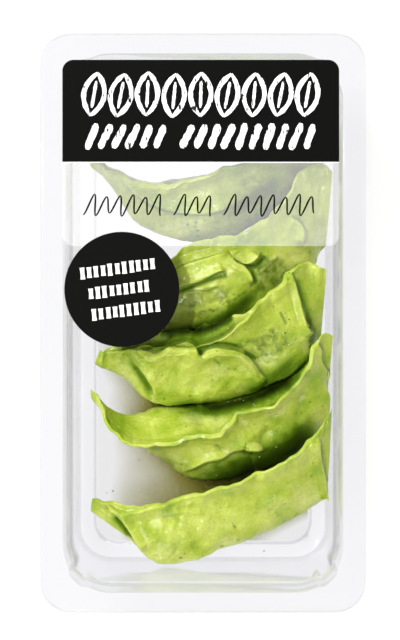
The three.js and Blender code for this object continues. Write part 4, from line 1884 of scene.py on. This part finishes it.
def rounded_plate(
    low: Mark, high: Mark, radii: tuple[float, float, float, float], bottom: float, thickness: float
) -> BMesh:
    """Make a thin flat plate with rounded corners.

    Args:
        low: Its lowest x and y, in millimetres.
        high: Its highest x and y.
        radii: Corner radii from the +X +Y corner, counter-clockwise.
        bottom: The height of its underside.
        thickness: Its thickness.

    Returns:
        The bmesh, in metres.
    """
    steps = 16
    middle_x, middle_y = (low[0] + high[0]) / 2, (low[1] + high[1]) / 2
    half = ((high[0] - low[0]) / 2, (high[1] - low[1]) / 2)
    outline = rounded_outline(half, radii, steps, [0.0] * (steps + 1))
    shape = bmesh.new()
    circle = bmesh.ops.create_circle(shape, cap_ends=True, radius=1.0, segments=len(outline))
    for vert, (x, y) in zip(circle["verts"], outline):
        vert.co = Vector((middle_x + x, middle_y + y, bottom)) * MM
    thicken(shape, list(shape.faces), thickness)
    return shape


def ribbon(shape: BMesh, path: list[Mark], widths: list[float], bottom: float) -> None:
    """Add a flat painted stroke that follows a path.

    Args:
        shape: The bmesh that gets the stroke, in metres.
        path: Points of its middle line, in millimetres.
        widths: Its full width at each point.
        bottom: The height of its underside.
    """
    count = len(path)
    grid = bmesh.ops.create_grid(shape, x_segments=count - 1, y_segments=1, size=1.0)["verts"]
    rows = sorted(grid, key=lambda v: (round(v.co.x, 5), v.co.y))
    for k in range(count):
        before, after = path[max(k - 1, 0)], path[min(k + 1, count - 1)]
        run = Vector((after[0] - before[0], after[1] - before[1])).normalized()
        across = Vector((-run.y, run.x)) * widths[k] / 2
        for vert, sign in zip(rows[2 * k : 2 * k + 2], (-1, 1)):
            x, y = path[k][0] + sign * across.x, path[k][1] + sign * across.y
            vert.co = Vector((x, y, bottom)) * MM
    thicken(shape, list({face for vert in grid for face in vert.link_faces}), INK)


@dataclass
class LidFilm:
    """The sealed lid: one thin clear film, cut a little inside the flange's edge."""

    radius: float = 10.1
    thickness: float = 0.06

    def build(self, material: Material) -> Object:
        """Cut the film and lay it on the flange.

        Args:
            material: The clear film.

        Returns:
            The piece.
        """
        low, high = (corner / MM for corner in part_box("lid_film"))
        shape = rounded_plate(low.xy[:], high.xy[:], (self.radius,) * 4, low.z + LIFT, self.thickness)
        return finish_piece(
            closed_mesh(shape), "sealing_film", material, ("lid_film",), False
        )


@dataclass
class PrintedLabel:
    """The label: a black head with brushed leaves and dabs, over a whitened clear band with a pen line."""

    head_share: float = 0.548
    radius: float = 4.0
    leaf: Mark = (7.4, 15.6)
    brush: float = 1.9
    leaf_row: float = 12.4
    leaf_pitch: float = 9.6
    dab_row: float = 27.6
    dab_pitch: float = 4.9
    dab_width: float = 2.5
    pen_row: float = 15.6
    pen_pitch: float = 4.9
    pen_reach: float = 3.4
    pen_runs: tuple[Mark, ...] = ((-41.5, -13.5), (-9.0, 4.5), (9.0, 41.5))
    seed: int = 11

    def build(self) -> list[Object]:
        """Make the label's layers.

        Returns:
            The pieces, the one that stands for the label first.
        """
        low, high = (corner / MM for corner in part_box("label"))
        split = high.y - self.head_share * (high.y - low.y)
        base = low.z + LIFT
        square = 0.05
        round_top = (self.radius, self.radius, square, square)
        head = rounded_plate((low.x, split), (high.x, high.y), round_top, base + 0.05, 0.05)
        stock = rounded_plate(
            (low.x + 0.1, split - 0.35), (high.x - 0.1, high.y - 0.1), round_top, base, 0.045
        )
        band = rounded_plate(
            (low.x, low.y), (high.x, split - 0.4), (square, square, self.radius, self.radius), base, 0.08
        )
        ink = PrintedInk("black_offset_ink", "0c0c0b").make()
        white = PrintedInk("white_label_stock", "f2f2f0", roughness=0.55).make()
        veil = WhitenedFilm("whitened_label_film").make()
        middle = (low.x + high.x) / 2
        return [
            finish_piece(closed_mesh(head), "label_head", ink, ("label",), False),
            finish_piece(closed_mesh(stock), "label_stock", white, smooth=False),
            finish_piece(closed_mesh(band), "label_band", veil, smooth=False),
            self._brushed_rows(middle, high.y, base + 0.1),
            self._pen_line(middle, split, base + 0.08, ink),
        ]

    def _stroke(
        self, shape: BMesh, path: list[Mark], width: float, bottom: float, rng: np.random.Generator
    ) -> None:
        """Paint one rough brush stroke with tapered ends.

        Args:
            shape: The bmesh that gets the stroke.
            path: Points of its middle line.
            width: Its full width.
            bottom: The height of its underside.
            rng: The source of its roughness.
        """
        count = len(path)
        widths = []
        for k in range(count):
            near = min(k, count - 1 - k) / max(1, count - 1)
            widths.append(width * min(1.0, 0.45 + 5.0 * near) * rng.uniform(0.82, 1.14))
        ribbon(shape, path, widths, bottom)

    def _leaf(
        self, shape: BMesh, centre: Mark, lean: float, bottom: float, rng: np.random.Generator
    ) -> None:
        """Paint the outline of a leaf with a midrib.

        Args:
            shape: The bmesh that gets the strokes.
            centre: Its middle.
            lean: How far it leans, in radians.
            bottom: The height of the ink's underside.
            rng: The source of its roughness.
        """
        turned = Matrix.Rotation(lean, 2)
        for number, bow in enumerate((-0.5, 0.0, 0.5)):
            share = 1.0 if bow else 0.62
            path = []
            for t in np.linspace(-1, 1, 15):
                spot = turned @ Vector((self.leaf[0] * bow * (1 - t * t), share * self.leaf[1] / 2 * t))
                path.append((centre[0] + spot.x, centre[1] + spot.y))
            self._stroke(shape, path, self.brush * (0.9 if bow else 0.6), bottom + 0.001 * number, rng)

    def _brushed_rows(self, middle: float, top: float, bottom: float) -> Object:
        """Paint a row of leaves, and a row of leaning dabs under it.

        Args:
            middle: The label's middle in x.
            top: Its top edge in y.
            bottom: The height of the ink's underside.

        Returns:
            The piece.
        """
        rng = np.random.default_rng(self.seed)
        shape = bmesh.new()
        for k in range(9):
            lean = rng.uniform(-0.2, 0.02)
            centre = (middle + self.leaf_pitch * (k - 4), top - self.leaf_row + rng.uniform(-0.5, 0.5))
            self._leaf(shape, centre, lean, bottom, rng)
        for k in range(17):
            if k != 6:
                x = middle + self.dab_pitch * (k - 8)
                height = rng.uniform(8.2, 9.6)
                lean = rng.uniform(0.9, 1.7)
                path = [
                    (x + lean * t + 0.35 * math.sin(2.4 * t), top - self.dab_row + height / 2 * t)
                    for t in np.linspace(-1, 1, 9)
                ]
                self._stroke(shape, path, self.dab_width, bottom, rng)
        ink = DryBrushInk("dry_brushed_white").make()
        return finish_piece(closed_mesh(shape), "label_brushed_marks", ink, smooth=False)

    def _pen_line(self, middle: float, split: float, bottom: float, ink: Material) -> Object:
        """Draw a thin wavy pen line across the band, in three runs.

        Args:
            middle: The label's middle in x.
            split: Where the band starts in y.
            bottom: The height of the ink's underside.
            ink: Its finish.

        Returns:
            The piece.
        """
        shape = bmesh.new()
        for start, end in self.pen_runs:
            waves = round((end - start) / self.pen_pitch)
            path, widths = [], []
            for t in np.linspace(0, 1, 22 * waves):
                angle = 2 * math.pi * waves * t
                reach = self.pen_reach + 0.6 * math.sin(0.4 * angle)
                x = start + (end - start) * t - 0.25 * reach * math.cos(angle)
                path.append((middle + x, split - self.pen_row - reach * math.cos(angle)))
                widths.append(0.4 + 0.25 * abs(math.sin(angle)))
            ribbon(shape, path, widths, bottom)
        return finish_piece(closed_mesh(shape), "label_pen_line", ink, smooth=False)


@dataclass
class RoundSticker:
    """The round black sticker, with three rows of plain white dashes that rise to the right."""

    rise: float = math.radians(8.0)
    rows: tuple[tuple[float, float, float], ...] = (
        (7.6, -14.6, 14.0), (0.0, -12.6, 12.6), (-7.7, -12.4, 15.0)
    )
    dash: Mark = (1.75, 4.1)
    pitch: float = 2.55

    def build(self) -> list[Object]:
        """Cut the disc and print its dashes.

        Returns:
            The pieces.
        """
        low, high = (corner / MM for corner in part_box("round_sticker"))
        centre = (low + high) / 2
        radius = (high.x - low.x) / 2
        disc = bmesh.new()
        bmesh.ops.create_cone(
            disc, cap_ends=True, segments=128, radius1=radius * MM, radius2=radius * MM, depth=0.1 * MM
        )
        bmesh.ops.translate(disc, verts=disc.verts, vec=Vector((centre.x, centre.y, low.z + 0.06)) * MM)
        ink = PrintedInk("black_sticker_ink", "0d0d0c").make()
        white = PrintedInk("white_sticker_ink", "f8f8f5", roughness=0.5).make()
        rng = np.random.default_rng(5)
        dashes = bmesh.new()
        turned = Matrix.Rotation(self.rise, 2)
        for offset, start, end in self.rows:
            for k in range(int((end - start) / self.pitch)):
                x = start + (k + 0.5) * self.pitch + rng.uniform(-0.15, 0.15)
                tall = self.dash[1] * rng.uniform(0.88, 1.06)
                path = []
                for t in np.linspace(-0.5, 0.5, 4):
                    spot = turned @ Vector((x + 0.2 * t, offset + tall * t))
                    path.append((centre.x + spot.x, centre.y + spot.y))
                ribbon(dashes, path, [self.dash[0], *[self.dash[0] * 0.8] * 2, self.dash[0]], low.z + 0.11)
        return [
            finish_piece(
                closed_mesh(disc), "sticker_disc", ink, ("round_sticker",), False
            ),
            finish_piece(closed_mesh(dashes), "sticker_dashes", white, smooth=False),
        ]


# ---- studio ----


@dataclass
class Studio:
    """A white board under the pack, soft boxes around it, and the camera looking straight down."""

    image_height_mm: float = 230.4
    sensor: float = 36.0

    def build(self) -> None:
        """Place the floor, the lights, the sky and the camera."""
        scene = bpy.context.scene
        scene.view_settings.view_transform = "Standard"
        self._floor()
        self._soft_box("key_box", (-1.25, 1.1, 1.6), 0.95, 50.0)
        self._soft_box("side_box", (1.5, 0.25, 1.6), 1.0, 13.0)
        self._soft_box("front_box", (-0.4, -1.6, 1.5), 0.7, 20.0)
        self._soft_box("glint_box", (-0.9, 0.35, 2.2), 0.1, 24.0)
        self._sky()
        camera_data = bpy.data.cameras.new("overhead_camera")
        camera_data.sensor_width = self.sensor
        camera_data.lens = self.sensor * (EYE[2] - LID) / self.image_height_mm
        camera_data.clip_end = 10.0
        camera = bpy.data.objects.new("overhead_camera", camera_data)
        camera.location = Vector(EYE) * MM
        scene.collection.objects.link(camera)
        scene.camera = camera

    def _sky(self) -> None:
        """Wrap the set in pale light that is dark straight overhead, so that flat gloss stays clear."""
        world = bpy.data.worlds.new("studio_air")
        world.use_nodes = True
        tree = world.node_tree
        coords = add_node(tree, "TexCoord")
        split = add_node(tree, "SeparateXYZ", {0: coords.outputs["Generated"]})
        glow = add_node(tree, "ValToRGB", {"Fac": split.outputs["Z"]}, (
            (0.0, grey(0.75)), (0.4, grey(1.0)), (0.86, grey(0.95)), (0.95, grey(0.08))
        ))
        background = tree.nodes["Background"]
        background.inputs["Strength"].default_value = 0.4
        tree.links.new(glow.outputs["Color"], background.inputs["Color"])
        bpy.context.scene.world = world

    def _floor(self) -> None:
        """Lay the board that the pack rests on."""
        shape = bmesh.new()
        bmesh.ops.create_grid(shape, x_segments=1, y_segments=1, size=1.5)
        bmesh.ops.translate(shape, verts=shape.verts, vec=(0, 0, CAD_BOX[0].z))
        mesh = bpy.data.meshes.new("board")
        shape.to_mesh(mesh)
        shape.free()
        mesh.materials.append(OpalAcrylic().make())
        board = bpy.data.objects.new("board", mesh)
        bpy.context.scene.collection.objects.link(board)

    def _soft_box(self, name: str, place: Point, size: float, power: float) -> None:
        """Hang a square soft box that faces the pack.

        Args:
            name: Its name.
            place: Where it hangs, in metres.
            size: Its side, in metres.
            power: Its power, in watts.
        """
        light = bpy.data.lights.new(name, "AREA")
        light.size = size
        light.energy = power
        lamp = bpy.data.objects.new(name, light)
        lamp.location = place
        lamp.rotation_mode = "QUATERNION"
        lamp.rotation_quaternion = (-Vector(place)).to_track_quat("-Z", "Y")
        bpy.context.scene.collection.objects.link(lamp)


# ---- the object ----


def main() -> None:
    """Build the pack piece by piece and report each one."""
    logging.basicConfig(level=logging.INFO, format="%(name)s: %(message)s")
    Studio().build()
    tray = FormedTray().build(ThermoformedSheet("thermoformed_clear_pet").make())
    families = []
    for gyoza in GYOZA_ROW:
        dough = WheatDough(f"spinach_wheat_dough_{gyoza.seed}", gyoza.seed).make()
        piece = gyoza.build(dough)
        families.append([piece, *FoldedSheets(gyoza).build(piece, dough)])
    CreviceShade().paint(families)
    dumplings = [piece for family in families for piece in family]
    # A sheet of painted shade on the tray's floor, darker where the dumplings close it in.
    FloorShadeSheet().build(surfaces(dumplings), FloorShadeTint().make())
    bits = LooseBits(surfaces([*dumplings, tray]))
    leek, crumbs, drops = all_sprinkles()
    bits.scatter(leek, ChoppedHerb().make())
    bits.scatter(crumbs, DoughCrumb().make())
    bits.scatter(drops, ThermoformedSheet("clear_water_drop", ior=1.33).make())
    LidFilm().build(ThermoformedSheet("clear_sealing_film", edge_tint="e6e8ea", roughness=0.04).make())
    PrintedLabel().build()
    RoundSticker().build()


if __name__ == "__main__":
    main()
